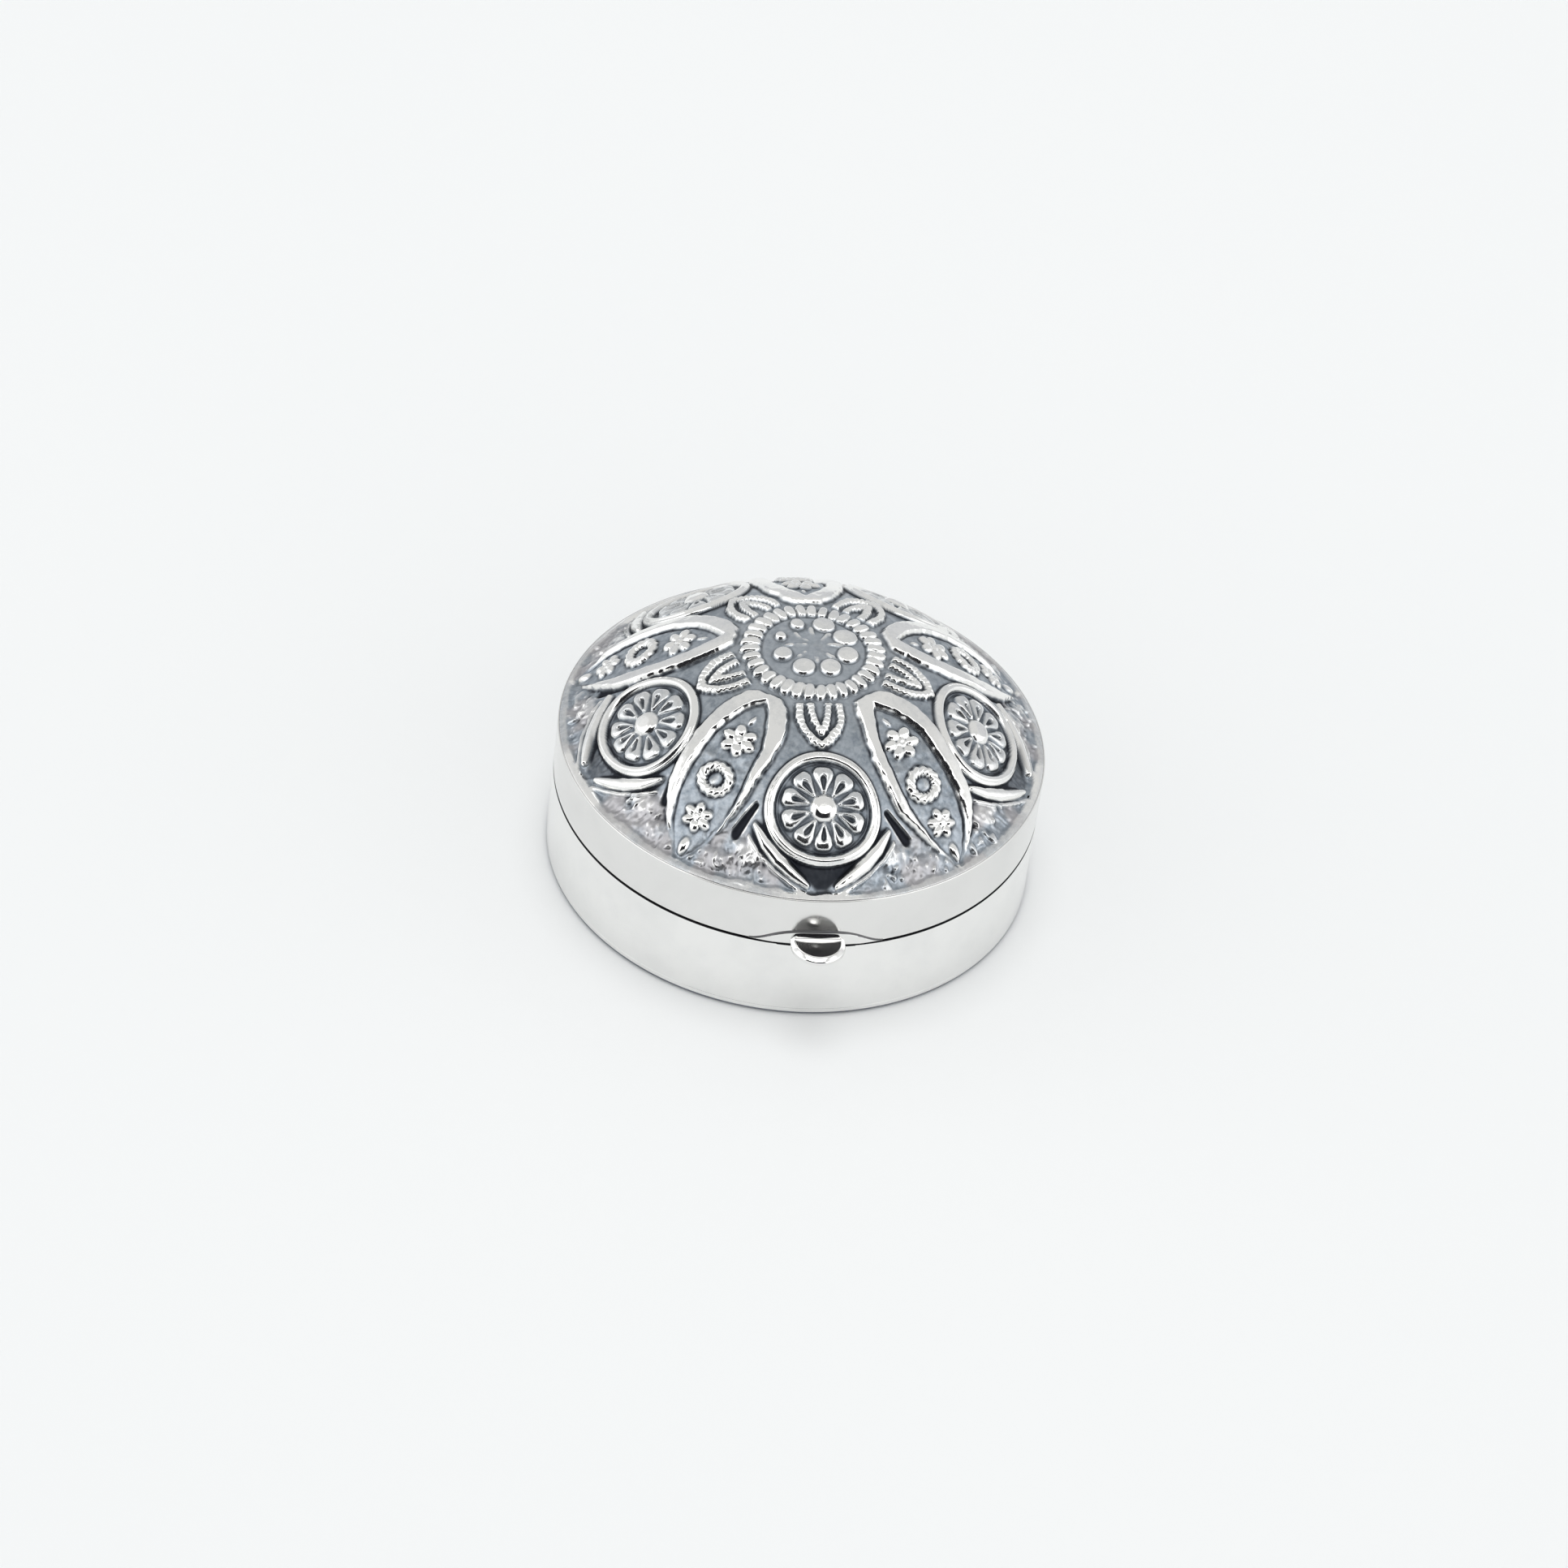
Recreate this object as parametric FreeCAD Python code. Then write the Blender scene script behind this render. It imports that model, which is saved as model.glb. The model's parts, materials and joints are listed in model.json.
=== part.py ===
"""Round hinged pill box: a drawn base with an inner liner, an embossed domed lid on a plain band,
a five-knuckle hinge at the back and a thumb piece at the front.

Frame: millimetres, +Z up, the underside of the base plate on Z = 0, the box's own axis on Z.
The thumb piece faces -Y and the hinge is at +Y. The hinge axis runs along X.
"""
import FreeCAD, Part
import math
import os
from FreeCAD import Vector as V

# ---------------------------------------------------------------- driving dimensions
R_OUT = 17.0            # outside radius of both bands
PARTING_Z = 6.5         # height of the joint between base and lid
PARTING_GAP = 0.10      # the shut line
PLATE_T = 0.6           # base plate
PLATE_EDGE_R = 0.35     # rounded lower edge of the base plate
WALL_T = 0.6            # base band
LINER_T = 0.45          # inner liner, which the lid slides over
LINER_RISE = 1.4        # how far the liner stands above the joint
LINER_CLEARANCE = 0.06  # radial, between liner and lid band
LID_BAND_TOP_Z = 10.5
SHEET_T = 0.45          # embossed sheet of the dome
DOME_R = 16.92          # foot radius of the dome
DOME_H = 8.4            # dome above the band
DOME_N = 2.526          # profile exponents of the dome: z = H (1 - (r/R)^N)^M
DOME_M = 1.136

HINGE_Y = 17.4          # hinge axis
HINGE_LEN = 10.0
KNUCKLES = 5
KNUCKLE_GAP = 0.08
TUBE_R = 0.9
PIN_R = 0.40
FIXED_BORE_R = 0.405    # knuckles that hold the pin
RUNNING_BORE_R = 0.44   # knuckles that turn on the pin
TUBE_CLEARANCE = 0.10   # between a knuckle and the other half's metal
OPEN_STOP_DEG = 110.0   # the stop shoulders meet here
STOP_PLAY_DEG = 1.0

TAB_R = 1.88            # thumb piece: a tab with a round end
TAB_OUT = 0.52          # the centre of its round end, out from the band
TAB_T = 0.62
TAB_Z0 = 6.78
TAB_BEVEL = 0.28        # its sloping rim
TAB_ROUND = 0.12        # its rounded lower edge
DISH_R = 6.0            # shallow dish in its upper face
DISH_DEPTH = 0.13
DISH_Y = -17.60
ROOT_HALF_W = 4.6       # its arched root plate against the lid band
ROOT_H = 1.30
ROOT_T = 0.22

OUT = "parts"
os.makedirs(OUT, exist_ok=True)
Z = V(0, 0, 1)
X = V(1, 0, 0)
parts = {}


def ring(r_out, r_in, z0, z1):
    return Part.makeCylinder(r_out, z1 - z0, V(0, 0, z0)).cut(
        Part.makeCylinder(r_in, z1 - z0 + 2, V(0, 0, z0 - 1)))


def revolve_edges(edges):
    return Part.Face(Part.Wire(Part.__sortEdges__(edges))).revolve(V(0, 0, 0), Z, 360)


def line(a, b):
    return Part.LineSegment(V(a[0], 0, a[1]), V(b[0], 0, b[1])).toShape()


def arc3(a, m, b):
    return Part.Arc(V(a[0], 0, a[1]), V(m[0], 0, m[1]), V(b[0], 0, b[1])).toShape()


def corner_mid(cx, cz, r, deg):
    return (cx + r * math.cos(math.radians(deg)), cz + r * math.sin(math.radians(deg)))


def ring_with_rounds(r_out, r_in, z0, z1, low_out=0.0, top_out=0.0, top_in=0.0, low_in=0.0):
    """A ring whose four section corners can be rounded."""
    e = []
    p_lo_out = (r_out, z0 + low_out)
    p_hi_out = (r_out, z1 - top_out)
    p_top_o = (r_out - top_out, z1)
    p_top_i = (r_in + top_in, z1)
    p_hi_in = (r_in, z1 - top_in)
    p_lo_in = (r_in, z0 + low_in)
    p_bot_i = (r_in + low_in, z0)
    p_bot_o = (r_out - low_out, z0)
    e.append(line(p_lo_out, p_hi_out))
    if top_out:
        e.append(arc3(p_hi_out, corner_mid(r_out - top_out, z1 - top_out, top_out, 45), p_top_o))
    e.append(line(p_top_o, p_top_i))
    if top_in:
        e.append(arc3(p_top_i, corner_mid(r_in + top_in, z1 - top_in, top_in, 135), p_hi_in))
    e.append(line(p_hi_in, p_lo_in))
    if low_in:
        e.append(arc3(p_lo_in, corner_mid(r_in + low_in, z0 + low_in, low_in, 225), p_bot_i))
    e.append(line(p_bot_i, p_bot_o))
    if low_out:
        e.append(arc3(p_bot_o, corner_mid(r_out - low_out, z0 + low_out, low_out, 315), p_lo_out))
    return revolve_edges(e)


def tube(x0, x1, r_out, r_in):
    t = Part.makeCylinder(r_out, x1 - x0, V(x0, HINGE_Y, PARTING_Z), X)
    if r_in:
        t = t.cut(Part.makeCylinder(r_in, x1 - x0 + 2, V(x0 - 1, HINGE_Y, PARTING_Z), X))
    return t


def hinge_relief(r, x0=None, x1=None):
    x0 = -HINGE_LEN / 2 - 0.12 if x0 is None else x0
    x1 = HINGE_LEN / 2 + 0.12 if x1 is None else x1
    return Part.makeCylinder(r, x1 - x0, V(x0, HINGE_Y, PARTING_Z), X)


# ---------------------------------------------------------------- base
r_wall_in = R_OUT - WALL_T
base_top = PARTING_Z - PARTING_GAP / 2
lid_bottom = PARTING_Z + PARTING_GAP / 2

parts["base_plate"] = revolve_edges([
    line((0, 0), (R_OUT - PLATE_EDGE_R, 0)),
    arc3((R_OUT - PLATE_EDGE_R, 0), corner_mid(R_OUT - PLATE_EDGE_R, PLATE_EDGE_R, PLATE_EDGE_R, -45),
         (R_OUT, PLATE_EDGE_R)),
    line((R_OUT, PLATE_EDGE_R), (R_OUT, PLATE_T)),
    line((R_OUT, PLATE_T), (0, PLATE_T)),
    line((0, PLATE_T), (0, 0)),
])

base_wall = ring_with_rounds(R_OUT, r_wall_in, PLATE_T, base_top, top_out=0.14)
parts["base_wall"] = base_wall.cut(hinge_relief(TUBE_R + TUBE_CLEARANCE))

liner_top = PARTING_Z + LINER_RISE
parts["base_liner"] = ring_with_rounds(r_wall_in, r_wall_in - LINER_T, PLATE_T, liner_top,
                                       top_out=0.16, top_in=0.12)

# ---------------------------------------------------------------- lid
r_lid_in = r_wall_in + LINER_CLEARANCE
lid_wall = ring_with_rounds(R_OUT, r_lid_in, lid_bottom, LID_BAND_TOP_Z, low_out=0.14, top_out=0.10)
parts["lid_wall"] = lid_wall.cut(hinge_relief(TUBE_R + TUBE_CLEARANCE))


def dome_z(r):
    q = min(max(r / DOME_R, 0.0), 1.0)
    return LID_BAND_TOP_Z + DOME_H * (1 - q ** DOME_N) ** DOME_M


def dome_slope(r):
    h = 1e-4
    a, b = max(r - h, 0.0), min(r + h, DOME_R)
    return (dome_z(b) - dome_z(a)) / (b - a)


def dome_section(radii):
    outer = [(r, dome_z(r)) for r in radii]
    inner = []
    for r in radii:
        s = dome_slope(r) if r > 0 else 0.0
        n = math.hypot(s, 1.0)
        inner.append((r + SHEET_T * s / n, dome_z(r) - SHEET_T / n))
    return outer, inner


radii = [0.0, 1.5, 3.0, 4.6, 6.2, 7.8, 9.3, 10.8, 12.2, 13.5, 14.6, 15.5, 16.15, 16.6]
outer, inner = dome_section(radii)
outer.append((DOME_R, LID_BAND_TOP_Z))
# the inner skin comes down to the band's top inside the seat
seat_in = DOME_R - SHEET_T
inner = [p for p in inner if p[0] < seat_in - 0.25 and p[1] > LID_BAND_TOP_Z + 0.45]
inner.append((seat_in, LID_BAND_TOP_Z))


def spline(points):
    """A smooth curve that starts level on the axis and ends along its last chord."""
    (ra, za), (rb, zb) = points[-2:]
    c = Part.BSplineCurve()
    c.interpolate(Points=[V(r, 0, z) for r, z in points],
                  InitialTangent=V(1, 0, 0), FinalTangent=V(rb - ra, 0, zb - za).normalize())
    return c.toShape()


dome_edges = [
    spline(outer),
    line(outer[-1], inner[-1]),
    spline(inner),
    line(inner[0], outer[0]),
]
parts["lid_dome"] = revolve_edges(dome_edges)

# ---------------------------------------------------------------- thumb piece
tab_back, tab_mid = -R_OUT + 0.40, -R_OUT - TAB_OUT
tab_plan = Part.Wire([
    Part.LineSegment(V(-TAB_R, tab_back, TAB_Z0), V(-TAB_R, tab_mid, TAB_Z0)).toShape(),
    Part.Arc(V(-TAB_R, tab_mid, TAB_Z0), V(0, tab_mid - TAB_R, TAB_Z0), V(TAB_R, tab_mid, TAB_Z0)).toShape(),
    Part.LineSegment(V(TAB_R, tab_mid, TAB_Z0), V(TAB_R, tab_back, TAB_Z0)).toShape(),
    Part.LineSegment(V(TAB_R, tab_back, TAB_Z0), V(-TAB_R, tab_back, TAB_Z0)).toShape(),
])
tab = Part.Face(tab_plan).extrude(V(0, 0, TAB_T))


def rim_edges(shape, z):
    """The edges of the tab's outline at one height, without the one inside the band."""
    return [e for e in shape.Edges if all(abs(v.Z - z) < 1e-6 for v in e.Vertexes)
            and not all(abs(v.Y - tab_back) < 1e-6 for v in e.Vertexes)]


tab = tab.makeChamfer(TAB_BEVEL, rim_edges(tab, TAB_Z0 + TAB_T))
tab = tab.makeFillet(TAB_ROUND, rim_edges(tab, TAB_Z0))
tab = tab.cut(Part.makeSphere(DISH_R, V(0, DISH_Y, TAB_Z0 + TAB_T + DISH_R - DISH_DEPTH)))
root_z0 = lid_bottom
arch = Part.Face(Part.Wire([
    Part.LineSegment(V(-ROOT_HALF_W, -R_OUT - 3, root_z0), V(ROOT_HALF_W, -R_OUT - 3, root_z0)).toShape(),
    Part.Arc(V(ROOT_HALF_W, -R_OUT - 3, root_z0), V(0, -R_OUT - 3, root_z0 + ROOT_H),
             V(-ROOT_HALF_W, -R_OUT - 3, root_z0)).toShape(),
])).extrude(V(0, 6, 0))
root = arch.common(ring(R_OUT + ROOT_T, R_OUT, root_z0 - 1, root_z0 + 3))
tab = tab.cut(Part.makeCylinder(R_OUT, 4, V(0, 0, TAB_Z0 - 1)))
parts["thumb_piece"] = root.fuse(tab).removeSplitter()

# ---------------------------------------------------------------- hinge
pitch = (HINGE_LEN + KNUCKLE_GAP) / KNUCKLES
klen = pitch - KNUCKLE_GAP
names = ["base_knuckle_left", "lid_knuckle_left", "base_knuckle_middle", "lid_knuckle_right", "base_knuckle_right"]
spans = {}
for i, name in enumerate(names):
    x0 = -HINGE_LEN / 2 + i * pitch
    spans[name] = (x0, x0 + klen)
    bore = FIXED_BORE_R if name.startswith("base") else RUNNING_BORE_R
    parts[name] = tube(x0, x0 + klen, TUBE_R, bore)

pin = Part.makeCylinder(PIN_R, HINGE_LEN + 0.16, V(-HINGE_LEN / 2 - 0.08, HINGE_Y, PARTING_Z), X)
pin = pin.makeChamfer(0.06, [e for e in pin.Edges if abs(e.Length - 2 * math.pi * PIN_R) < 0.01])
parts["hinge_pin"] = pin

half = OPEN_STOP_DEG / 2 + STOP_PLAY_DEG / 2
bearer_half_len = HINGE_LEN / 2


def bearer(sign):
    """The strip that carries one half's knuckles. Its outer shoulder is a plane through the hinge axis, so
    the two shoulders meet face to face when the lid is fully open. sign is +1 for the lid and -1 for the base."""
    c, s = math.cos(math.radians(half)), math.sin(math.radians(half))
    r1 = 1.32
    profile = [
        (-1.35, 0.05), (-0.20, 0.05), (0.30 * c, 0.30 * s + 0.02), (r1 * c, r1 * s),
        (r1 * c - 0.06, r1 * s + 0.22), (0.36, 1.78), (0.02, 2.12), (-0.40, 2.34), (-1.35, 2.34),
    ]
    pts = [V(-bearer_half_len, HINGE_Y + y, PARTING_Z + sign * z) for y, z in profile]
    pts.append(pts[0])
    body = Part.Face(Part.makePolygon(pts)).extrude(V(2 * bearer_half_len, 0, 0))
    body = body.cut(Part.makeCylinder(R_OUT, 30, V(0, 0, -5)))
    mine = "lid" if sign > 0 else "base"
    for name, (x0, x1) in spans.items():
        own = name.startswith(mine)
        a, b = (x0, x1) if own else (x0 - KNUCKLE_GAP, x1 + KNUCKLE_GAP)
        body = body.cut(hinge_relief(TUBE_R if own else TUBE_R + TUBE_CLEARANCE, a, b))
    return body


parts["lid_hinge_bearer"] = bearer(+1)
parts["base_hinge_bearer"] = bearer(-1)

# ---------------------------------------------------------------- export
total = 0.0
for name, shape in parts.items():
    solids = shape.Solids
    shape = solids[0] if len(solids) == 1 else Part.makeCompound(solids)
    assert shape.isValid(), name
    total += sum(s.Volume for s in solids)
    b = shape.BoundBox
    print(f"{name:22s} solids {len(solids)} volume {sum(s.Volume for s in solids):9.3f} mm3  "
          f"x {b.XMin:7.2f} {b.XMax:7.2f}  y {b.YMin:7.2f} {b.YMax:7.2f}  z {b.ZMin:6.2f} {b.ZMax:6.2f}")
    shape.exportStep(os.path.join(OUT, name + ".step"))
print(f"total volume {total:.2f} mm3, mass at 10.36 g/cm3 {total * 10.36e-3:.2f} g")
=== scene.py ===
import json
import math

import bpy
import numpy as np
from mathutils import Matrix, Vector


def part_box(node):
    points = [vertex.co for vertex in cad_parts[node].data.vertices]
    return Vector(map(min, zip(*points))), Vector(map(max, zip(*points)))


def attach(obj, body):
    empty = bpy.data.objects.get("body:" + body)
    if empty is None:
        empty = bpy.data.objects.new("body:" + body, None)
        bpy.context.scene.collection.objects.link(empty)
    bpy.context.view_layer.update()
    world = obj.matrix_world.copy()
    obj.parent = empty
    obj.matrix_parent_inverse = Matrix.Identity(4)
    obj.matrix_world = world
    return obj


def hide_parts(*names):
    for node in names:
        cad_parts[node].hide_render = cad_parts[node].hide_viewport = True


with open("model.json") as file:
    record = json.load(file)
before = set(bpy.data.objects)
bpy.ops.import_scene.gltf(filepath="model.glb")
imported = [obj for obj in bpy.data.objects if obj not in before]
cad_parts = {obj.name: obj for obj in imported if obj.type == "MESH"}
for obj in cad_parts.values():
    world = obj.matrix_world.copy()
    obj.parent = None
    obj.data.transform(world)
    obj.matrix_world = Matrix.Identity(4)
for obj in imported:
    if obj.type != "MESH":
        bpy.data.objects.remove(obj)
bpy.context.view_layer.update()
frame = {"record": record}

MM = 0.001
# ------------------------------------------------------------------ sizes read from the frame, in mm
_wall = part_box("lid_wall")
_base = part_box("base_wall")
_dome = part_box("lid_dome")
_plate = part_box("base_plate")
_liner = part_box("base_liner")
R = round(float(_plate[1][0]) / MM, 2)                 # outside radius
BAND_TOP = float(_wall[1][2]) / MM
LID_LOW = float(_wall[0][2]) / MM
BASE_TOP = float(_base[1][2]) / MM
PLATE_T = float(_plate[1][2]) / MM
LINER_TOP = float(_liner[1][2]) / MM
LINER_R = round(float(_liner[1][0]) / MM, 2)
DOME_TOP = float(_dome[1][2]) / MM
DOME_R = round(float(_dome[1][0]) / MM, 2)
DOME_H = DOME_TOP - BAND_TOP
HINGE = [v / MM for v in frame["record"]["behaviour"]["joints"][0]["pos_m"]]
DOME_N, DOME_M = 2.526, 1.136
LID_IN = LINER_R + 0.06
SHEET = 0.45


# ------------------------------------------------------------------ mesh helpers
def mesh_object(name, verts_mm, faces, smooth=True):
    me = bpy.data.meshes.new(name)
    v = np.asarray(verts_mm, float) * MM
    me.from_pydata(v.tolist(), [], faces)
    me.validate()
    me.update()
    if smooth:
        me.polygons.foreach_set("use_smooth", np.ones(len(me.polygons), bool))
    ob = bpy.data.objects.new(name, me)
    bpy.context.scene.collection.objects.link(ob)
    return ob


def big_mesh_object(name, verts_mm, quads=None, tris=None):
    """A smooth mesh from arrays of quads and triangles."""
    me = bpy.data.meshes.new(name)
    v = np.asarray(verts_mm, np.float32) * MM
    quads = np.zeros((0, 4), np.int32) if quads is None else np.asarray(quads, np.int32)
    tris = np.zeros((0, 3), np.int32) if tris is None else np.asarray(tris, np.int32)
    loops = np.concatenate([quads.ravel(), tris.ravel()])
    starts = np.concatenate([np.arange(len(quads)) * 4, len(quads) * 4 + np.arange(len(tris)) * 3])
    totals = np.concatenate([np.full(len(quads), 4), np.full(len(tris), 3)])
    me.vertices.add(len(v))
    me.vertices.foreach_set("co", v.ravel())
    me.loops.add(len(loops))
    me.loops.foreach_set("vertex_index", loops.astype(np.int32))
    me.polygons.add(len(starts))
    me.polygons.foreach_set("loop_start", starts.astype(np.int32))
    me.polygons.foreach_set("loop_total", totals.astype(np.int32))
    me.update(calc_edges=True)
    me.validate()
    me.polygons.foreach_set("use_smooth", np.ones(len(me.polygons), bool))
    ob = bpy.data.objects.new(name, me)
    bpy.context.scene.collection.objects.link(ob)
    return ob


def rounded_loop(corners, steps=5):
    """A closed (r, z) outline from (r, z, radius) corners, anticlockwise, with each corner rounded."""
    out = []
    n = len(corners)
    for i in range(n):
        p = np.array(corners[i][:2], float)
        a = np.array(corners[i - 1][:2], float) - p
        b = np.array(corners[(i + 1) % n][:2], float) - p
        rad = corners[i][2]
        la, lb = np.linalg.norm(a), np.linalg.norm(b)
        if rad <= 0 or la == 0 or lb == 0:
            out.append(tuple(p))
            continue
        a, b = a / la, b / lb
        half = math.acos(max(-1, min(1, float(a @ b)))) / 2
        cut = min(rad / math.tan(half), la * 0.49, lb * 0.49)
        rad = cut * math.tan(half)
        c = p + (a + b) / np.linalg.norm(a + b) * rad / math.sin(half)
        s, e = p + a * cut - c, p + b * cut - c
        a0, a1 = math.atan2(s[1], s[0]), math.atan2(e[1], e[0])
        d = (a1 - a0 + math.pi) % (2 * math.pi) - math.pi
        for k in range(steps + 1):
            t = a0 + d * k / steps
            out.append((c[0] + rad * math.cos(t), c[1] + rad * math.sin(t)))
    return out


def lathe(name, outline, segments=512):
    """A closed ring (or, where the outline touches the axis, a closed disc) turned about Z."""
    pts = [(max(r, 0.0), z) for r, z in outline]
    on_axis = [r < 1e-9 for r, z in pts]
    verts, index = [], []
    for (r, z), axis in zip(pts, on_axis):
        if axis:
            index.append([len(verts)] * segments)
            verts.append((0.0, 0.0, z))
        else:
            first = len(verts)
            for k in range(segments):
                t = 2 * math.pi * k / segments
                verts.append((r * math.cos(t), r * math.sin(t), z))
            index.append(list(range(first, first + segments)))
    faces = []
    n = len(pts)
    for i in range(n):
        j = (i + 1) % n
        if on_axis[i] and on_axis[j]:
            continue
        for k in range(segments):
            m = (k + 1) % segments
            f = [index[i][k], index[i][m], index[j][m], index[j][k]]
            g = []
            for x in f:
                if x not in g:
                    g.append(x)
            faces.append(g)
    return mesh_object(name, verts, faces)


def subdivide_outline(outline, longest=0.6):
    """Adds points along long straight stretches, so that shading stays even over them."""
    out = []
    for i, p in enumerate(outline):
        q = outline[(i + 1) % len(outline)]
        d = math.dist(p, q)
        n = max(1, int(math.ceil(d / longest)))
        for k in range(n):
            out.append((p[0] + (q[0] - p[0]) * k / n, p[1] + (q[1] - p[1]) * k / n))
    return out


def cut_with(ob, cutter, how="DIFFERENCE"):
    m = ob.modifiers.new("cut", "BOOLEAN")
    m.operation = how
    m.solver = "EXACT"
    m.object = cutter
    bpy.context.view_layer.objects.active = ob
    bpy.context.view_layer.update()
    dg = bpy.context.evaluated_depsgraph_get()
    me = bpy.data.meshes.new_from_object(ob.evaluated_get(dg))
    old = ob.data
    ob.modifiers.clear()
    ob.data = me
    bpy.data.meshes.remove(old)
    bpy.data.objects.remove(cutter)
    me.polygons.foreach_set("use_smooth", np.ones(len(me.polygons), bool))


def sharpen(ob, degrees=35):
    """Marks sharp edges by angle, so smooth shading breaks only at real corners."""
    me = ob.data
    me.update()
    import bmesh

    bm = bmesh.new()
    bm.from_mesh(me)
    limit = math.radians(degrees)
    for e in bm.edges:
        e.smooth = not (len(e.link_faces) == 2 and e.calc_face_angle(0.0) > limit)
    bm.to_mesh(me)
    bm.free()


# ------------------------------------------------------------------ the embossed pattern
GRID = 1600
SPAN = 2.04
lin = (np.arange(GRID) + 0.5) / GRID * SPAN - SPAN / 2
GX, GY = np.meshgrid(lin, lin)


def blur(a, sigma):
    ky = np.fft.fftfreq(GRID, d=SPAN / GRID)
    kx = np.fft.rfftfreq(GRID, d=SPAN / GRID)
    g = np.exp(-2 * (math.pi * sigma) ** 2 * (ky[:, None] ** 2 + kx[None, :] ** 2))
    return np.fft.irfft2(np.fft.rfft2(a) * g, s=(GRID, GRID))


def field(seed, sigma):
    a = blur(np.random.RandomState(seed).standard_normal((GRID, GRID)), sigma)
    return a / a.std()


def fold(angle, offset, n):
    p = 2 * math.pi / n
    return (angle - offset + p / 2) % p - p / 2


def ramp(d, w):
    t = np.clip(d / w, 0.0, 1.0)
    return t * t * (3 - 2 * t)


def smax(a, b, k=0.03):
    return (a + b + np.sqrt((a - b) ** 2 + k * k)) / 2


def dome(t):
    """x and y are the outer radius and the height over the band's top, both in units of R."""
    q = np.clip(t * R / DOME_R, 0.0, 1.0)
    return DOME_H / R * (1 - q ** DOME_N) ** DOME_M


_t = np.linspace(0, DOME_R / R, 4001)
_slope = np.gradient(dome(_t), _t)
_arc = np.concatenate([[0], np.cumsum(np.hypot(np.diff(_t), np.diff(dome(_t))))])


def along(s):
    """Distance along the dome's surface from its top."""
    return np.interp(s, _t, _arc) + np.maximum(s - _t[-1], 0) * 1.4


def seg_distance(s, v, a, b):
    ax, ay = a
    bx, by = b
    dx, dy = bx - ax, by - ay
    t = np.clip(((s - ax) * dx + (v - ay) * dy) / (dx * dx + dy * dy), 0, 1)
    return np.hypot(s - ax - t * dx, v - ay - t * dy), t


def path_distance(s, v, points):
    best = np.full(s.shape, 9.0)
    run = np.zeros(s.shape)
    total = 0.0
    for a, b in zip(points[:-1], points[1:]):
        length = math.dist(a, b)
        d, t = seg_distance(s, v, a, b)
        closer = d < best
        best = np.where(closer, d, best)
        run = np.where(closer, total + t * length, run)
        total += length
    return best, run, total


def half_round(d, w, power=2.0, shape=0.5):
    return np.clip(1 - (np.abs(d) / w) ** power, 0, 1) ** shape


def outline_distance(s, v, table):
    """Signed distance, positive inside, to a symmetric outline given as half widths along the axis."""
    ss = np.linspace(-0.2, 1.3, 3001)
    ts, tw = np.array(table).T
    w = np.interp(ss, ts, tw)
    lo, hi = ts[0], ts[-1]
    g0 = (tw[1] - tw[0]) / (ts[1] - ts[0])
    g1 = (tw[-1] - tw[-2]) / (ts[-1] - ts[-2])
    w = np.where(ss < lo, tw[0] + (ss - lo) * g0, w)
    w = np.where(ss > hi, tw[-1] + (ss - hi) * g1, w)
    k = np.exp(-0.5 * (np.arange(-24, 25) / 9.0) ** 2)
    w = np.convolve(np.pad(w, 24, mode="edge"), k / k.sum(), mode="valid")
    slope = np.gradient(w, ss)
    return (np.interp(s, ss, w) - np.abs(v)) / np.sqrt(1 + np.interp(s, ss, slope) ** 2)


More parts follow.
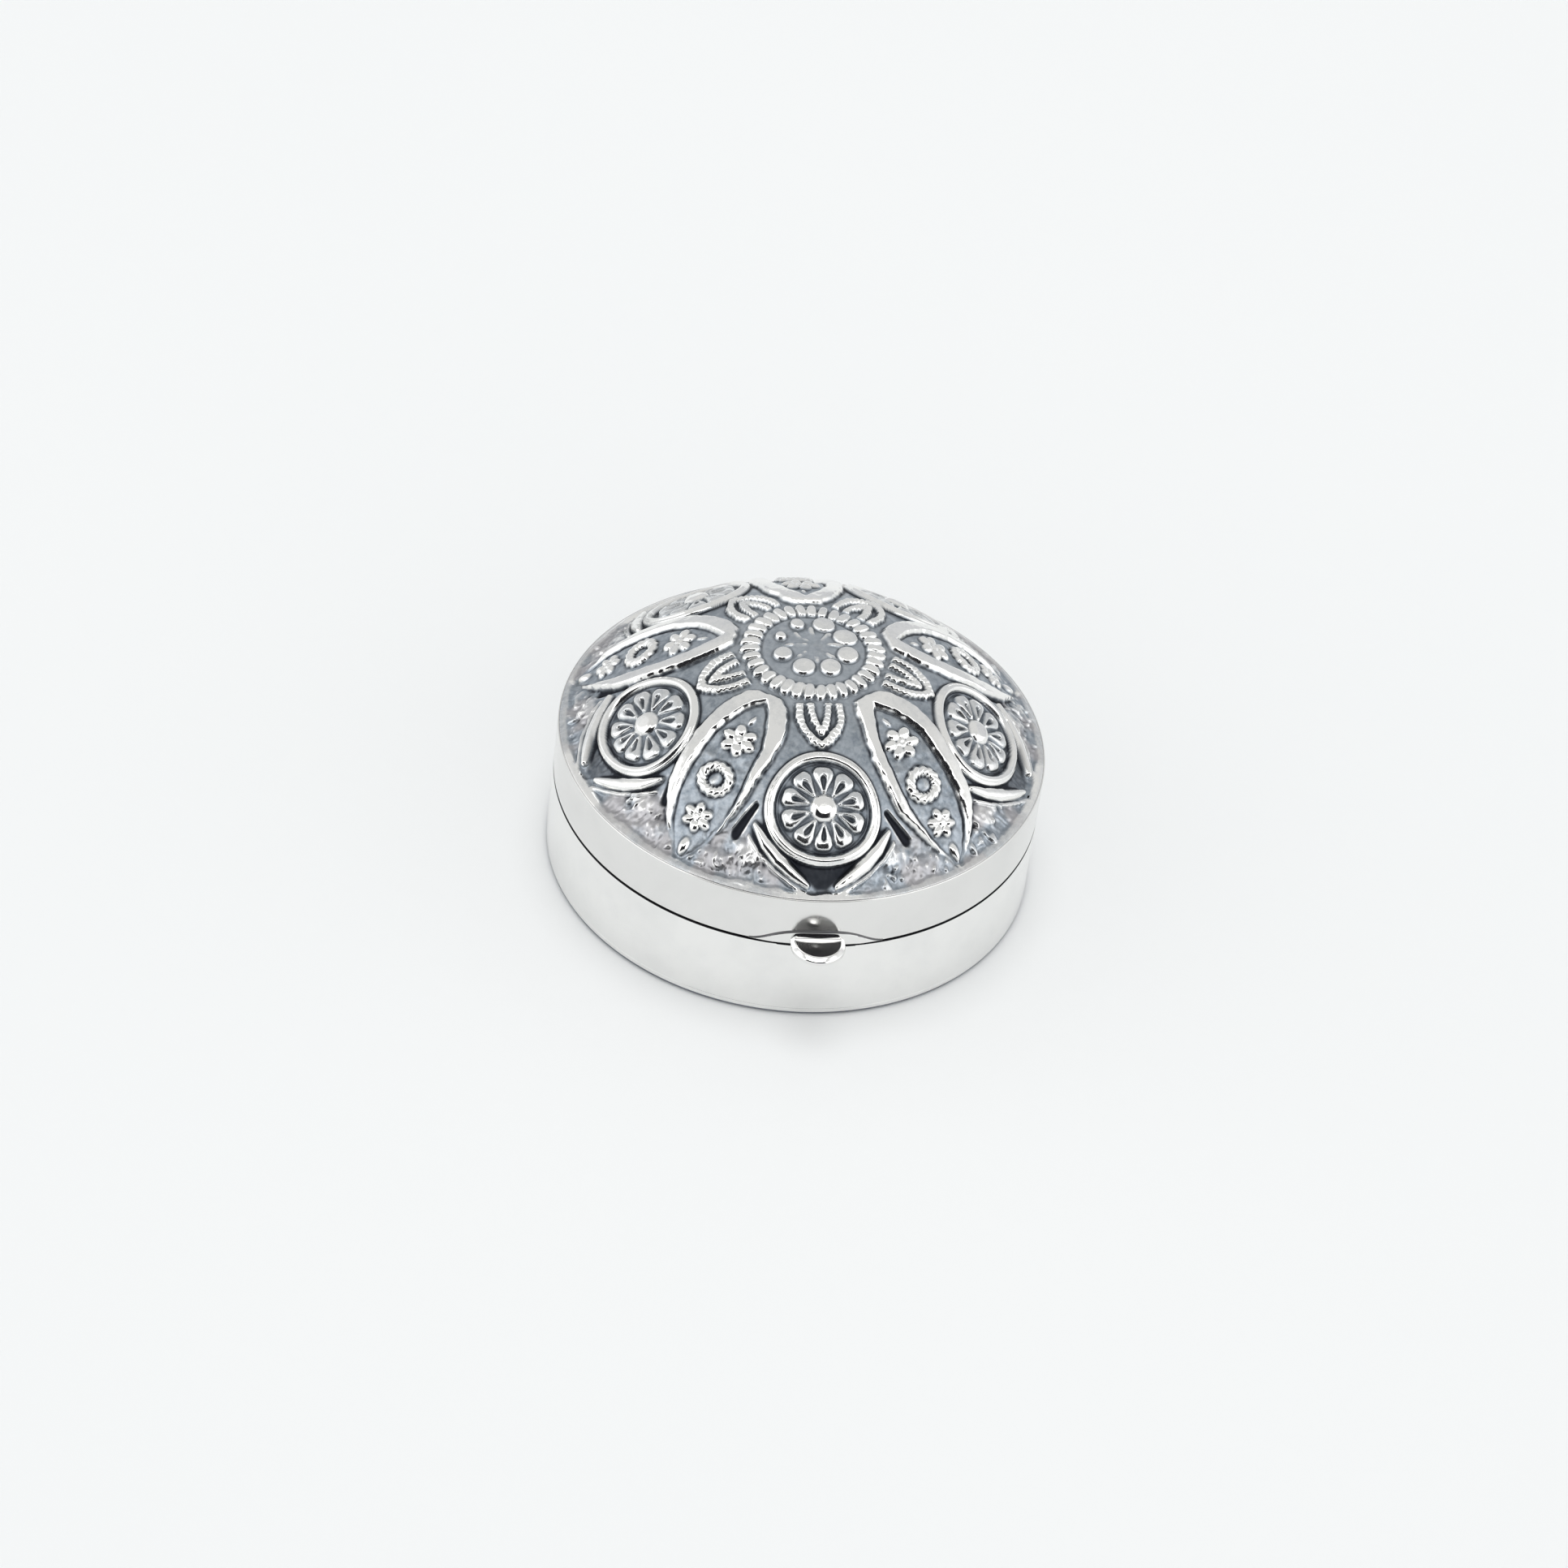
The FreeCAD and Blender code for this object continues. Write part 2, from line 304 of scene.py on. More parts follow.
def relief():
    """Height of the embossing in mm under the dome's envelope, over a square plan grid in units of R."""
    X = GX + 0.0030 * field(11, 0.085)
    Y = GY + 0.0030 * field(12, 0.085)
    r = np.hypot(X, Y)
    th = np.arctan2(Y, X)
    front = -math.pi / 2
    ta = fold(th, front, 5)
    tb = fold(th, front + math.pi / 5, 5)
    sa, va = r * np.cos(ta), r * np.sin(ta)
    sb, vb = r * np.cos(tb), r * np.sin(tb)

    G = -0.46
    h = np.full(r.shape, G) + 0.012 * field(3, 0.05)

    # --- pointed ovals: a broad flat band round a sunk field; the two beside the front medallion are a little lopsided
    even_out = [(0.30, 0.052), (0.318, 0.066), (0.36, 0.104), (0.42, 0.143), (0.46, 0.162), (0.51, 0.179), (0.58, 0.192),
                (0.65, 0.198), (0.72, 0.198), (0.774, 0.190), (0.83, 0.165), (0.87, 0.137), (0.93, 0.079), (0.99, 0.004), (1.02, -0.04)]
    even_in = [(0.36, -0.032), (0.392, 0.000), (0.45, 0.049), (0.50, 0.078), (0.55, 0.096), (0.62, 0.109), (0.70, 0.114),
               (0.765, 0.113), (0.82, 0.102), (0.86, 0.089), (0.90, 0.066), (0.94, 0.034), (0.968, 0.000), (1.0, -0.03)]
    left_far_out = [(0.30, 0.052), (0.318, 0.066), (0.36, 0.112), (0.42, 0.152), (0.46, 0.171), (0.51, 0.189), (0.58, 0.203),
                    (0.65, 0.208), (0.72, 0.207), (0.774, 0.199), (0.83, 0.172), (0.87, 0.142), (0.93, 0.082), (0.99, 0.004), (1.02, -0.04)]
    left_far_in = [(0.35, -0.040), (0.384, 0.000), (0.40, 0.022), (0.45, 0.061), (0.50, 0.089), (0.55, 0.107), (0.62, 0.121),
                   (0.70, 0.126), (0.765, 0.124), (0.82, 0.114), (0.86, 0.100), (0.90, 0.078), (0.94, 0.046), (0.975, 0.000), (1.0, -0.03)]
    left_near_out = [(0.30, 0.052), (0.318, 0.066), (0.36, 0.110), (0.40, 0.137), (0.45, 0.158), (0.50, 0.167), (0.55, 0.168),
                     (0.60, 0.166), (0.65, 0.164), (0.70, 0.162), (0.75, 0.155), (0.80, 0.138), (0.85, 0.113), (0.90, 0.083), (0.95, 0.044), (0.99, 0.004), (1.02, -0.04)]
    left_near_in = [(0.35, -0.040), (0.384, 0.000), (0.40, 0.014), (0.45, 0.043), (0.50, 0.068), (0.55, 0.085), (0.60, 0.094),
                    (0.65, 0.101), (0.70, 0.106), (0.765, 0.106), (0.82, 0.098), (0.86, 0.084), (0.90, 0.062), (0.94, 0.034), (0.970, 0.000), (1.0, -0.03)]
    right_near_out = [(0.30, 0.052), (0.318, 0.066), (0.36, 0.086), (0.40, 0.099), (0.45, 0.119), (0.50, 0.137), (0.55, 0.151),
                      (0.60, 0.158), (0.65, 0.160), (0.70, 0.160), (0.75, 0.155), (0.80, 0.139), (0.85, 0.113), (0.90, 0.078), (0.95, 0.038), (0.99, 0.004), (1.02, -0.04)]
    right_near_in = [(0.36, -0.030), (0.402, 0.000), (0.45, 0.030), (0.50, 0.060), (0.55, 0.076), (0.60, 0.081), (0.65, 0.083),
                     (0.70, 0.085), (0.765, 0.084), (0.82, 0.075), (0.86, 0.062), (0.90, 0.042), (0.94, 0.016), (0.960, 0.000), (1.0, -0.03)]
    right_far_out = [(0.30, 0.052), (0.318, 0.066), (0.36, 0.118), (0.40, 0.148), (0.45, 0.178), (0.50, 0.199), (0.55, 0.212),
                     (0.60, 0.220), (0.65, 0.226), (0.70, 0.229), (0.75, 0.226), (0.80, 0.214), (0.85, 0.190), (0.90, 0.148), (0.95, 0.084), (0.99, 0.008), (1.02, -0.04)]
    right_far_in = [(0.36, -0.032), (0.395, 0.000), (0.45, 0.051), (0.50, 0.088), (0.55, 0.112), (0.60, 0.122), (0.65, 0.130),
                    (0.70, 0.136), (0.765, 0.138), (0.82, 0.130), (0.86, 0.115), (0.90, 0.092), (0.94, 0.055), (0.982, 0.000), (1.0, -0.02)]
    sector = np.round((th - (front + math.pi / 5)) / (2 * math.pi / 5)).astype(int) % 5
    left_side, right_side = sector == 4, sector == 0

    def lopsided(near_l, far_l, near_r, far_r, even):
        d = outline_distance(sb, vb, even)
        d = np.where(left_side & (vb > 0), outline_distance(sb, vb, near_l), d)
        d = np.where(left_side & (vb <= 0), outline_distance(sb, vb, far_l), d)
        d = np.where(right_side & (vb < 0), outline_distance(sb, vb, near_r), d)
        return np.where(right_side & (vb >= 0), outline_distance(sb, vb, far_r), d)

    d_out = lopsided(left_near_out, left_far_out, right_near_out, right_far_out, even_out)
    d_apex = sb - 0.316
    d_out = -smax(-d_out, -d_apex, 0.008)
    d_in = lopsided(left_near_in, left_far_in, right_near_in, right_far_in, even_in)
    vb = vb - np.where(left_side, -0.009, np.where(right_side, 0.012, 0.0)) * ramp(sb - 0.42, 0.08)
    wobble = 0.0016 * field(61, 0.016) + 0.0012 * field(62, 0.007)
    d_out, d_in = d_out + wobble, d_in + 0.7 * wobble
    inside = ramp(d_in, 0.004)
    band = ramp(d_out, 0.021) * ramp(-d_in, 0.022)
    mid = np.clip(np.minimum(d_out, -d_in) / 0.036, 0, 1)
    band_top = -0.040 + 0.034 * mid
    h = h + (band_top - h) * band
    mandorla = ramp(d_out, 0.010)
    # the field inside is a little higher than the outer ground, and hammered
    field_floor = G + 0.06 + 0.018 * field(5, 0.012) + 0.008 * field(51, 0.006)
    h = np.where(d_in > 0, smax(h * (1 - inside) + field_floor * inside, field_floor, 0.01), h)

    def local_b(s0):
        return along(sb) - along(s0), vb

    def flower(u, v, lobes, r_lobe, at, nub, height, turn=0.0):
        rho, phi = np.hypot(u, v), np.arctan2(v, u)
        f = fold(phi, turn, lobes)
        px, pv = rho * np.cos(f) - at, rho * np.sin(f)
        lobe = half_round(np.hypot(px / 1.25, pv), r_lobe, 2.0, 0.55)
        stem = half_round(pv, r_lobe * 0.45, 2.0, 0.6) * ramp(at - rho, 0.01) * 0.6
        core = half_round(rho, nub, 2.0, 0.55)
        pit = half_round(rho, nub * 0.45, 2.0, 0.8)
        return height * np.maximum(np.maximum(lobe, stem), core) - height * 0.45 * pit

    u, v = local_b(0.5556)
    f1 = flower(u, v / 1.13, 6, 0.0235, 0.0450, 0.021, 0.32, 0.3)
    u, v = local_b(0.842)
    f3 = flower(u, v / 1.10, 6, 0.0205, 0.0395, 0.018, 0.30, 0.1)
    u, v = local_b(0.7110)
    rho, phi = np.hypot(u, v / 1.08), np.arctan2(v, u)
    twist = np.cos(14 * phi + 260 * (rho - 0.055))
    ring_small = half_round(rho - 0.0560, 0.0215 + 0.0030 * np.cos(14 * phi), 2.8, 0.55) * (1 - 0.13 * ramp(twist, 0.9))
    disc = half_round(rho, 0.030, 6.0, 0.6) * 0.16
    f2 = 0.34 * np.maximum(ring_small, disc)
    u, v = local_b(0.935)
    tear = half_round(np.hypot(u / 1.9, v * (1 + 6 * np.clip(u, -0.05, 0.1))), 0.021, 2.0, 0.6) * 0.28
    u, v = local_b(0.462)
    tear2 = half_round(np.hypot(u / 2.2, v * (1 - 5 * np.clip(u, -0.1, 0.05))), 0.012, 2.0, 0.6) * 0.16
    add = np.maximum.reduce([f1, f2, f3, tear, tear2])
    h = np.where(d_in > 0.004, np.maximum(h, field_floor + add), h)

    # --- round medallions
    ua, wa = along(sa) - along(0.722), va
    rho, phi = np.hypot(ua, wa), np.arctan2(wa, ua)
    in_med = ramp(0.241 - rho, 0.012)
    floor = G - 0.02 + 0.11 * np.clip(1 - (rho / 0.185) ** 2, 0, 1) + 0.008 * field(6, 0.010)
    h = h * (1 - in_med) + floor * in_med
    ring = half_round(rho - 0.2180, 0.0220, 2.8, 0.58)
    ring_h = (G + 0.05) + 0.395 * ring - 0.12 * half_round(rho - 0.2285, 0.0055, 2.0, 0.8)
    h = np.where(ring > 0, np.maximum(h, ring_h), h)
    h = np.where(rho < 0.20, np.maximum(h, floor + 0.10 * half_round(rho - 0.1895, 0.0042, 2.0, 0.6)), h)
    # ten petals: a thick rounded rim round a deep slot, the outer end solid
    fp = fold(phi + 0.020 * np.sin(3 * phi), math.pi, 10)
    px, pv = rho * np.cos(fp), np.abs(rho * np.sin(fp))
    pt = [(0.058, 0.000), (0.064, 0.009), (0.085, 0.0180), (0.105, 0.0275), (0.125, 0.0385), (0.143, 0.0445), (0.158, 0.0430), (0.173, 0.0320), (0.1845, 0.000)]
    ps, pw = np.array(pt).T
    w = np.interp(px, ps, pw, left=0, right=0)
    lateral = np.where(w > 0, np.clip(1 - (pv / np.maximum(w, 1e-4)) ** 3.2, 0, 1) ** 0.48, 0)
    lift = np.interp(px, [0.058, 0.070, 0.09, 0.13, 0.15, 0.17, 0.1825], [0.12, 0.26, 0.30, 0.33, 0.36, 0.31, 0.0])
    petal = lateral * lift
    slot_w = np.interp(px, [0.074, 0.082, 0.100, 0.118, 0.128, 0.138], [0, 0.0045, 0.0090, 0.0125, 0.0120, 0.0], left=0, right=0)
    slot = np.where(slot_w > 0, np.clip(1 - (pv / np.maximum(slot_w, 1e-4)) ** 2.2, 0, 1) ** 0.6, 0)
    petal = petal * (1 - 0.95 * slot)
    h = np.where(rho < 0.188, smax(h - 0.03, floor - 0.05 + petal, 0.008), h)
    collar = half_round(rho, 0.066, 6.0, 0.8) * 0.06
    boss = half_round(rho, 0.057, 2.2, 0.5) * 0.42
    h = np.where(rho < 0.074, np.maximum(np.maximum(h, floor + collar), floor + boss), h)
    # painted shade: the petal slots and the narrow groove inside the ring are marked to be coloured near black, where
    # shade falls
    hollow_shade = 0.80 * slot * (rho < 0.15) + 0.75 * ramp(rho - 0.186, 0.004) * ramp(0.1985 - rho, 0.004)
    calm = ramp(0.186 - rho, 0.006)

    # --- small leaves between the bead ring and the medallions
    arch = [(0.318, 0.082), (0.37, 0.085), (0.41, 0.079), (0.445, 0.061), (0.475, 0.035), (0.495, 0.004), (0.497, 0.0)]
    ab = np.abs(va)
    uneven = field(13, 0.010)
    d, run, total = path_distance(sa, ab, arch)
    rope = 1 + 0.10 * np.cos(run / total * 2 * math.pi * 10) + 0.10 * uneven
    leaf = half_round(d, 0.0188 * rope, 2.6, 0.50) * (0.38 - 0.075 * ramp(np.cos(run / total * 2 * math.pi * 10), 0.8))
    vee = [(0.322, 0.036), (0.36, 0.033), (0.40, 0.022), (0.436, 0.006), (0.443, 0.0)]
    d, run, total = path_distance(sa, ab, vee)
    rope = 1 + 0.14 * np.cos(run / total * 2 * math.pi * 7) + 0.12 * uneven
    veep = half_round(d, 0.0178 * rope, 2.6, 0.50) * (0.35 - 0.075 * ramp(np.cos(run / total * 2 * math.pi * 7), 0.8))
    gate = ramp(sa - 0.308, 0.012) * (sa > 0)
    leaves = np.maximum(leaf, veep) * gate
    h = np.where(leaves > 0, np.maximum(h, G + leaves), h)

    # --- ribs under each medallion
    rib_path = [(0.760, 0.275), (0.822, 0.236), (0.872, 0.186), (0.915, 0.124), (0.952, 0.060)]
    d, run, total = path_distance(sa, ab, rib_path)
    q = np.clip(run / total, 0, 1)
    wr = 0.0235 * np.clip(np.sin(math.pi * np.clip(0.06 + 0.88 * q, 0, 1)), 0, 1) ** 0.45
    rib = half_round(d, np.maximum(wr, 1e-3), 2.4, 0.6) * 0.38
    thin_path = [(0.792, 0.300), (0.850, 0.258), (0.905, 0.196), (0.948, 0.128), (0.975, 0.070)]
    d2, run2, total2 = path_distance(sa, ab, thin_path)
    thin = half_round(d2, 0.0085, 2.0, 0.6) * 0.16
    clear_m = 1 - ramp(0.246 - rho, 0.006)
    h = np.where(rib > 0, np.maximum(h, G + 0.03 + rib * clear_m), h)
    h = np.where(thin > 0, np.maximum(h, G + 0.03 + thin * clear_m), h)
    # pits at the outer end of the ribs, and the sunk triangle between them; both are darkened with painted shade
    dp, tp = seg_distance(sa, ab, (0.700, 0.268), (0.770, 0.352))
    pit = half_round(dp, 0.0105 + 0.0105 * tp, 2.4, 0.7) * (1 - ramp(d_out - 0.002, 0.008)) * clear_m
    h = h - 0.22 * pit
    limit = np.interp(sa, [0.80, 0.872, 0.915, 0.952, 0.985], [0.20, 0.172, 0.108, 0.046, 0.0])
    tri = ramp(rho - 0.241, 0.005) * ramp(limit - ab, 0.012) * ramp(sa - 0.87, 0.02)
    h = h - 0.10 * tri
    facing = np.abs(fold(th, front, 1)) < 0.7
    # painted shade: the pits and the sunk triangle are marked near black as well, the triangle darkest where it faces
    # the front
    hollow_shade = np.maximum.reduce([hollow_shade, ramp(pit, 0.35), tri * ramp(0.972 - r, 0.012) * np.where(facing, 0.95, 0.6)])

    # --- smooth lobe and grained ground near the edge, between ribs and ovals
    outside = (1 - mandorla) * (1 - ramp(0.250 - rho, 0.010)) * ramp(d - 0.024, 0.012)
    a_deg = np.degrees(np.abs(ta))
    zone = ramp(r - 0.835, 0.03) * ramp(a_deg - 9.0, 3.0) * outside
    lobe = half_round(np.hypot((r - 0.892) / 0.040, (a_deg - 20.5) / 5.6), 1.0, 2.2, 0.7)
    lobe2 = half_round(np.hypot((r - 0.930) / 0.030, (a_deg - 27.5) / 4.4), 1.0, 2.2, 0.7)
    verge = outside * ramp(a_deg - 8.0, 4.0)
    rise = 0.20 * ramp(r - 0.86, 0.12) * verge
    h = h + rise
    veil = np.maximum(0.36 * ramp(petal, 0.06) * (rho < 0.188), 0.52 * ramp(r - 0.84, 0.05) * verge)
    stain = ramp(r - 0.80, 0.08) * verge * ramp(field(41, 0.03) + 0.9, 1.6)
    fine, coarse = field(7, 0.0055), field(8, 0.016)
    nubs = np.clip(field(9, 0.0075) - 0.70, 0, 1.6)
    grain = ramp(r - 0.872, 0.03) * ramp(a_deg - 11, 4)
    h = h + zone * (0.17 * lobe + 0.12 * lobe2 + 0.028 * coarse * grain + 0.020 * fine * grain + 0.13 * nubs * grain)
    # radial pleats on the sides of the dome
    pleat = ramp(r - 0.80, 0.06) * outside * (1 - ramp(a_deg - 33, 3))
    h = h + 0.020 * pleat * np.sin(np.degrees(th) * 1.3 + 3 * coarse)

    # --- the middle: bead ring, bosses and star
    bowl = 1 - ramp(r - 0.206, 0.012)
    h = h * (1 - bowl) + (G + 0.06) * bowl
    tk = fold(th, front + 0.03, 35)
    br, bt = r - 0.2585, r * np.sin(tk)
    bead = half_round((np.abs(br / 1.80) ** 2.6 + np.abs(bt) ** 2.6) ** (1 / 2.6), 0.0232 + 0.0006 * np.sin(th * 3 + 1) + 0.0011 * uneven, 2.8, 0.48) * 0.40
    h = np.where(np.abs(br) < 0.05, np.maximum(np.where(np.abs(br) < 0.044, G - 0.01, h), G + bead), h)
    # the star and its bosses sit a little towards the hinge
    xc, yc = X, Y - 0.020
    rc, tc = np.hypot(xc, yc), np.arctan2(yc, xc)
    star = fold(tc, front, 8)
    ridge = half_round(rc * np.sin(star) + 0.004 * field(64, 0.02), 0.009 + 0.05 * rc, 2.0, 1.0) * ramp(rc - 0.015, 0.03) * (1 - ramp(rc - 0.105, 0.03))
    h = h + 0.115 * ridge * np.clip(0.85 + 0.55 * field(63, 0.012), 0.2, 1.4) * bowl
    k8 = np.floor((tc - front) / (2 * math.pi / 8)).astype(int) % 8
    size = np.array([1.02, 1.02, 1.10, 1.04, 0.68, 0.50, 0.82, 1.00])[k8]
    b8 = fold(tc, front + math.pi / 8, 8)
    bx, by = rc * np.cos(b8) - 0.146, rc * np.sin(b8)
    db = np.hypot(bx / 1.02, by)
    ditch = half_round(db, 0.058, 4.0, 1.0) * 0.07
    bossc = half_round(db, 0.0475 * size, 3.0, 0.45) * 0.37 * (0.80 + 0.20 * size)
    h = h - ditch * bowl
    h = np.where(bossc > 0, np.maximum(h, G + 0.02 + bossc), h)
    nx, ny = rc * np.cos(star) - 0.098, rc * np.sin(star)
    nub = half_round(np.hypot(nx / 1.5, ny), 0.0105, 2.0, 0.6) * 0.15
    h = np.where((nub > 0) & (rc < 0.13), np.maximum(h, G + 0.05 + nub), h)
    eye = half_round(rc, 0.030, 2.0, 0.8)
    h = h - 0.03 * eye

    # --- foot: everything runs out flush with the band
    edge = 0.968 + 0.0035 * field(21, 0.06) + 0.002 * field(22, 0.02)
    foot = ramp(r - edge, 0.018)
    h = h * (1 - foot) - 0.03 * foot
    # painted light: towards the crown the ground is coloured lighter and the creases less dark, standing in for the
    # stronger light there; the flats there also take a little tarnish colour
    crown = 1 - ramp(r - 0.27, 0.30)
    veil = np.maximum(veil, 0.13 * crown)
    last = ramp(np.hypot(GX, GY) - 0.978, 0.012)
    h = h * (1 - last)
    h = h + (0.005 * field(31, 0.02) + 0.004 * field(32, 0.008)) * (1 - last)
    h = blur(h, 0.0018)
    return np.minimum(h, 0.0), np.clip(blur(hollow_shade, 0.0022), 0, 1), blur(calm, 0.002), crown, rise, np.clip(blur(veil, 0.003), 0, 1), np.clip(stain, 0, 1)


def sample(grid, x, y):
    fx = np.clip((x + SPAN / 2) / SPAN * GRID - 0.5, 0, GRID - 1.001)
    fy = np.clip((y + SPAN / 2) / SPAN * GRID - 0.5, 0, GRID - 1.001)
    ix, iy = fx.astype(int), fy.astype(int)
    tx, ty = fx - ix, fy - iy
    return (grid[iy, ix] * (1 - tx) * (1 - ty) + grid[iy, ix + 1] * tx * (1 - ty)
            + grid[iy + 1, ix] * (1 - tx) * ty + grid[iy + 1, ix + 1] * tx * ty)


def disc_grid(n):
    """(n+1)^2 points of a square mapped evenly onto the unit disc."""
    a = np.linspace(-1, 1, n + 1)
    A, B = np.meshgrid(a, a)
    big = np.abs(A) >= np.abs(B)
    rr = np.where(big, A, B)
    with np.errstate(divide="ignore", invalid="ignore"):
        phi = np.where(big, math.pi / 4 * np.where(A != 0, B / A, 0), math.pi / 2 - math.pi / 4 * np.where(B != 0, A / B, 0))
    return rr * np.cos(phi), rr * np.sin(phi)


def grid_quads(n, offset=0, flip=False):
    i = np.arange(n)
    I, J = np.meshgrid(i, i)
    a = J * (n + 1) + I
    q = np.stack([a, a + 1, a + n + 2, a + n + 1], -1).reshape(-1, 4) + offset
    return q[:, ::-1] if flip else q


def border(n):
    """Indices round the square grid's border, in order, 4n of them."""
    bottom = [i for i in range(n)]
    right = [j * (n + 1) + n for j in range(n)]
    top = [n * (n + 1) + i for i in range(n, 0, -1)]
    left = [j * (n + 1) for j in range(n, 0, -1)]
    return bottom + right + top + left


def embossed_dome():
    h, hollow_shade, calm, crown, rise, veil, stain = relief()
    soft = blur(h, 0.010)
    inner_h = np.minimum(blur(h, 0.014), 0)
    N_OUT = 560
    N_IN = N_OUT // 2
    x, y = disc_grid(N_OUT)
    x, y = x.ravel(), y.ravel()
    unit = DOME_R / R
    x, y = x * unit, y * unit
    r = np.hypot(x, y)
    hv = sample(h, x, y)
    slope = np.interp(r, _t, _slope)
    ln = np.hypot(slope, 1)
    nr, nz = -slope / ln, 1 / ln
    cx, cy = np.where(r > 0, x / np.maximum(r, 1e-9), 0), np.where(r > 0, y / np.maximum(r, 1e-9), 0)
    on_rim = r > unit - 1e-6
    hv = np.where(on_rim, 0.0, hv)
    out = np.stack([x * R + cx * nr * hv, y * R + cy * nr * hv, BAND_TOP + dome(r) * R + nz * hv], -1)
    out[on_rim, 2] = BAND_TOP
    out[:, 2] = np.maximum(out[:, 2], BAND_TOP)

    xi, yi = disc_grid(N_IN)
    xi, yi = xi.ravel(), yi.ravel()
    ri = np.hypot(xi, yi)
    foot_r = (DOME_R - SHEET) / R
    # underside: a smooth shell under the embossing, which shows the pattern softly from inside
    qi = ri * unit
    hi = sample(inner_h, xi * unit, yi * unit) - 0.36
    s2 = np.interp(qi, _t, _slope)
    l2 = np.hypot(s2, 1)
    px = xi * unit * R - np.where(ri > 0, xi / np.maximum(ri, 1e-9), 0) * s2 / l2 * hi
    py = yi * unit * R - np.where(ri > 0, yi / np.maximum(ri, 1e-9), 0) * s2 / l2 * hi
    pz = BAND_TOP + dome(qi) * R + hi / l2
    pr = np.hypot(px, py)
    # the last stretch comes down to the foot
    lim = foot_r * R
    t = ramp(ri - 0.93, 0.07)
    tr = pr * (1 - t) + (lim * (ri - 0.93) / 0.07 + (1 - (ri - 0.93) / 0.07) * pr) * t
    tr = np.minimum(tr, lim)
    k = np.where(pr > 0, tr / np.maximum(pr, 1e-9), 1)
    px, py = px * k, py * k
    pz = np.maximum(pz, BAND_TOP)
    rim_i = ri > 1 - 1e-9
    kk = lim / np.maximum(np.hypot(px, py), 1e-9)
    px, py = np.where(rim_i, px * kk, px), np.where(rim_i, py * kk, py)
    pz = np.where(rim_i, BAND_TOP, pz)
    inn = np.stack([px, py, pz], -1)

    verts = np.concatenate([out, inn])
    base = len(out)
    quads = np.concatenate([grid_quads(N_OUT), grid_quads(N_IN, base, flip=True)])
    bo = border(N_OUT)
    bi = [b + base for b in border(N_IN)]
    tris = []
    nb = len(bi)
    for j in range(nb):
        a0, a1, a2 = bo[2 * j], bo[(2 * j + 1) % len(bo)], bo[(2 * j + 2) % len(bo)]
        b0, b1 = bi[j], bi[(j + 1) % nb]
        tris += [(a1, a0, b0), (b0, b1, a1), (a2, a1, b1)]
    ob = big_mesh_object("embossed_dome", verts, quads, np.array(tris))
    me = ob.data
    # tarnish and stain, painted shade in the creases and painted light towards the crown, one value of each per point
    tarnish = np.maximum(veil, 1 - np.maximum(ramp(h - rise + 0.37, 0.14), 0.85 * ramp(h - soft - 0.016, 0.040)))
    near_edge = ramp(np.hypot(GX, GY) - 0.925, 0.035)
    # painted shade: creases deeper than their surroundings are marked to be coloured near black, less so near the edge,
    # in the medallion's middle and towards the crown, and the painted shade of slots and pits is added
    crevice_shade = np.maximum(np.clip((soft - h - 0.020) / 0.070, 0, 1) * ramp(-0.24 - h, 0.10) * (1 - 0.85 * near_edge) * (1 - 0.38 * calm) * (1 - 0.40 * crown), hollow_shade)
    inside_value = np.zeros(len(inn))
    for name, grid, inside in (("tarnish", tarnish, 0.42), ("crevice_shade", crevice_shade, 0.0), ("stain", stain, 0.0), ("crown", crown, 0.0)):
        vals = np.concatenate([np.clip(sample(grid, x, y), 0, 1), inside_value + inside])
        at = me.attributes.new(name, "FLOAT", "POINT")
        at.data.foreach_set("value", vals.astype(np.float32))
    return ob


# ------------------------------------------------------------------ materials
def new_material(name):
    m = bpy.data.materials.new(name)
    m.use_nodes = True
    nt = m.node_tree
    nt.nodes.clear()
    out = nt.nodes.new("ShaderNodeOutputMaterial")
    bsdf = nt.nodes.new("ShaderNodeBsdfPrincipled")
    nt.links.new(bsdf.outputs[0], out.inputs["Surface"])
    return m, nt, bsdf


def node(nt, kind, **values):
    n = nt.nodes.new(kind)
    for k, v in values.items():
        if hasattr(n, k):
            setattr(n, k, v)
        else:
            n.inputs[k].default_value = v
    return n


def noise(nt, coords, scale, detail=4.0, rough=0.55, stretch=None):
    src = coords
    if stretch is not None:
        mp = nt.nodes.new("ShaderNodeMapping")
        mp.inputs["Scale"].default_value = stretch
        nt.links.new(coords, mp.inputs["Vector"])
        src = mp.outputs[0]
    n = nt.nodes.new("ShaderNodeTexNoise")
    n.inputs["Scale"].default_value = scale
    n.inputs["Detail"].default_value = detail
    n.inputs["Roughness"].default_value = rough
    nt.links.new(src, n.inputs["Vector"])
    return n.outputs["Fac"]


def remap(nt, value, a, b, c, d):
    m = nt.nodes.new("ShaderNodeMapRange")
    m.inputs["From Min"].default_value = a
    m.inputs["From Max"].default_value = b
    m.inputs["To Min"].default_value = c
    m.inputs["To Max"].default_value = d
    nt.links.new(value, m.inputs["Value"])
    return m.outputs[0]


def mix_color(nt, fac, a, b):
    m = nt.nodes.new("ShaderNodeMix")
    m.data_type = "RGBA"
    for sock, val in ((m.inputs[0], fac), (m.inputs[6], a), (m.inputs[7], b)):
        if hasattr(val, "is_linked") or hasattr(val, "links"):
            nt.links.new(val, sock)
        elif isinstance(val, (int, float)):
            sock.default_value = val
        else:
            sock.default_value = (*val, 1.0)
    return m.outputs[2]


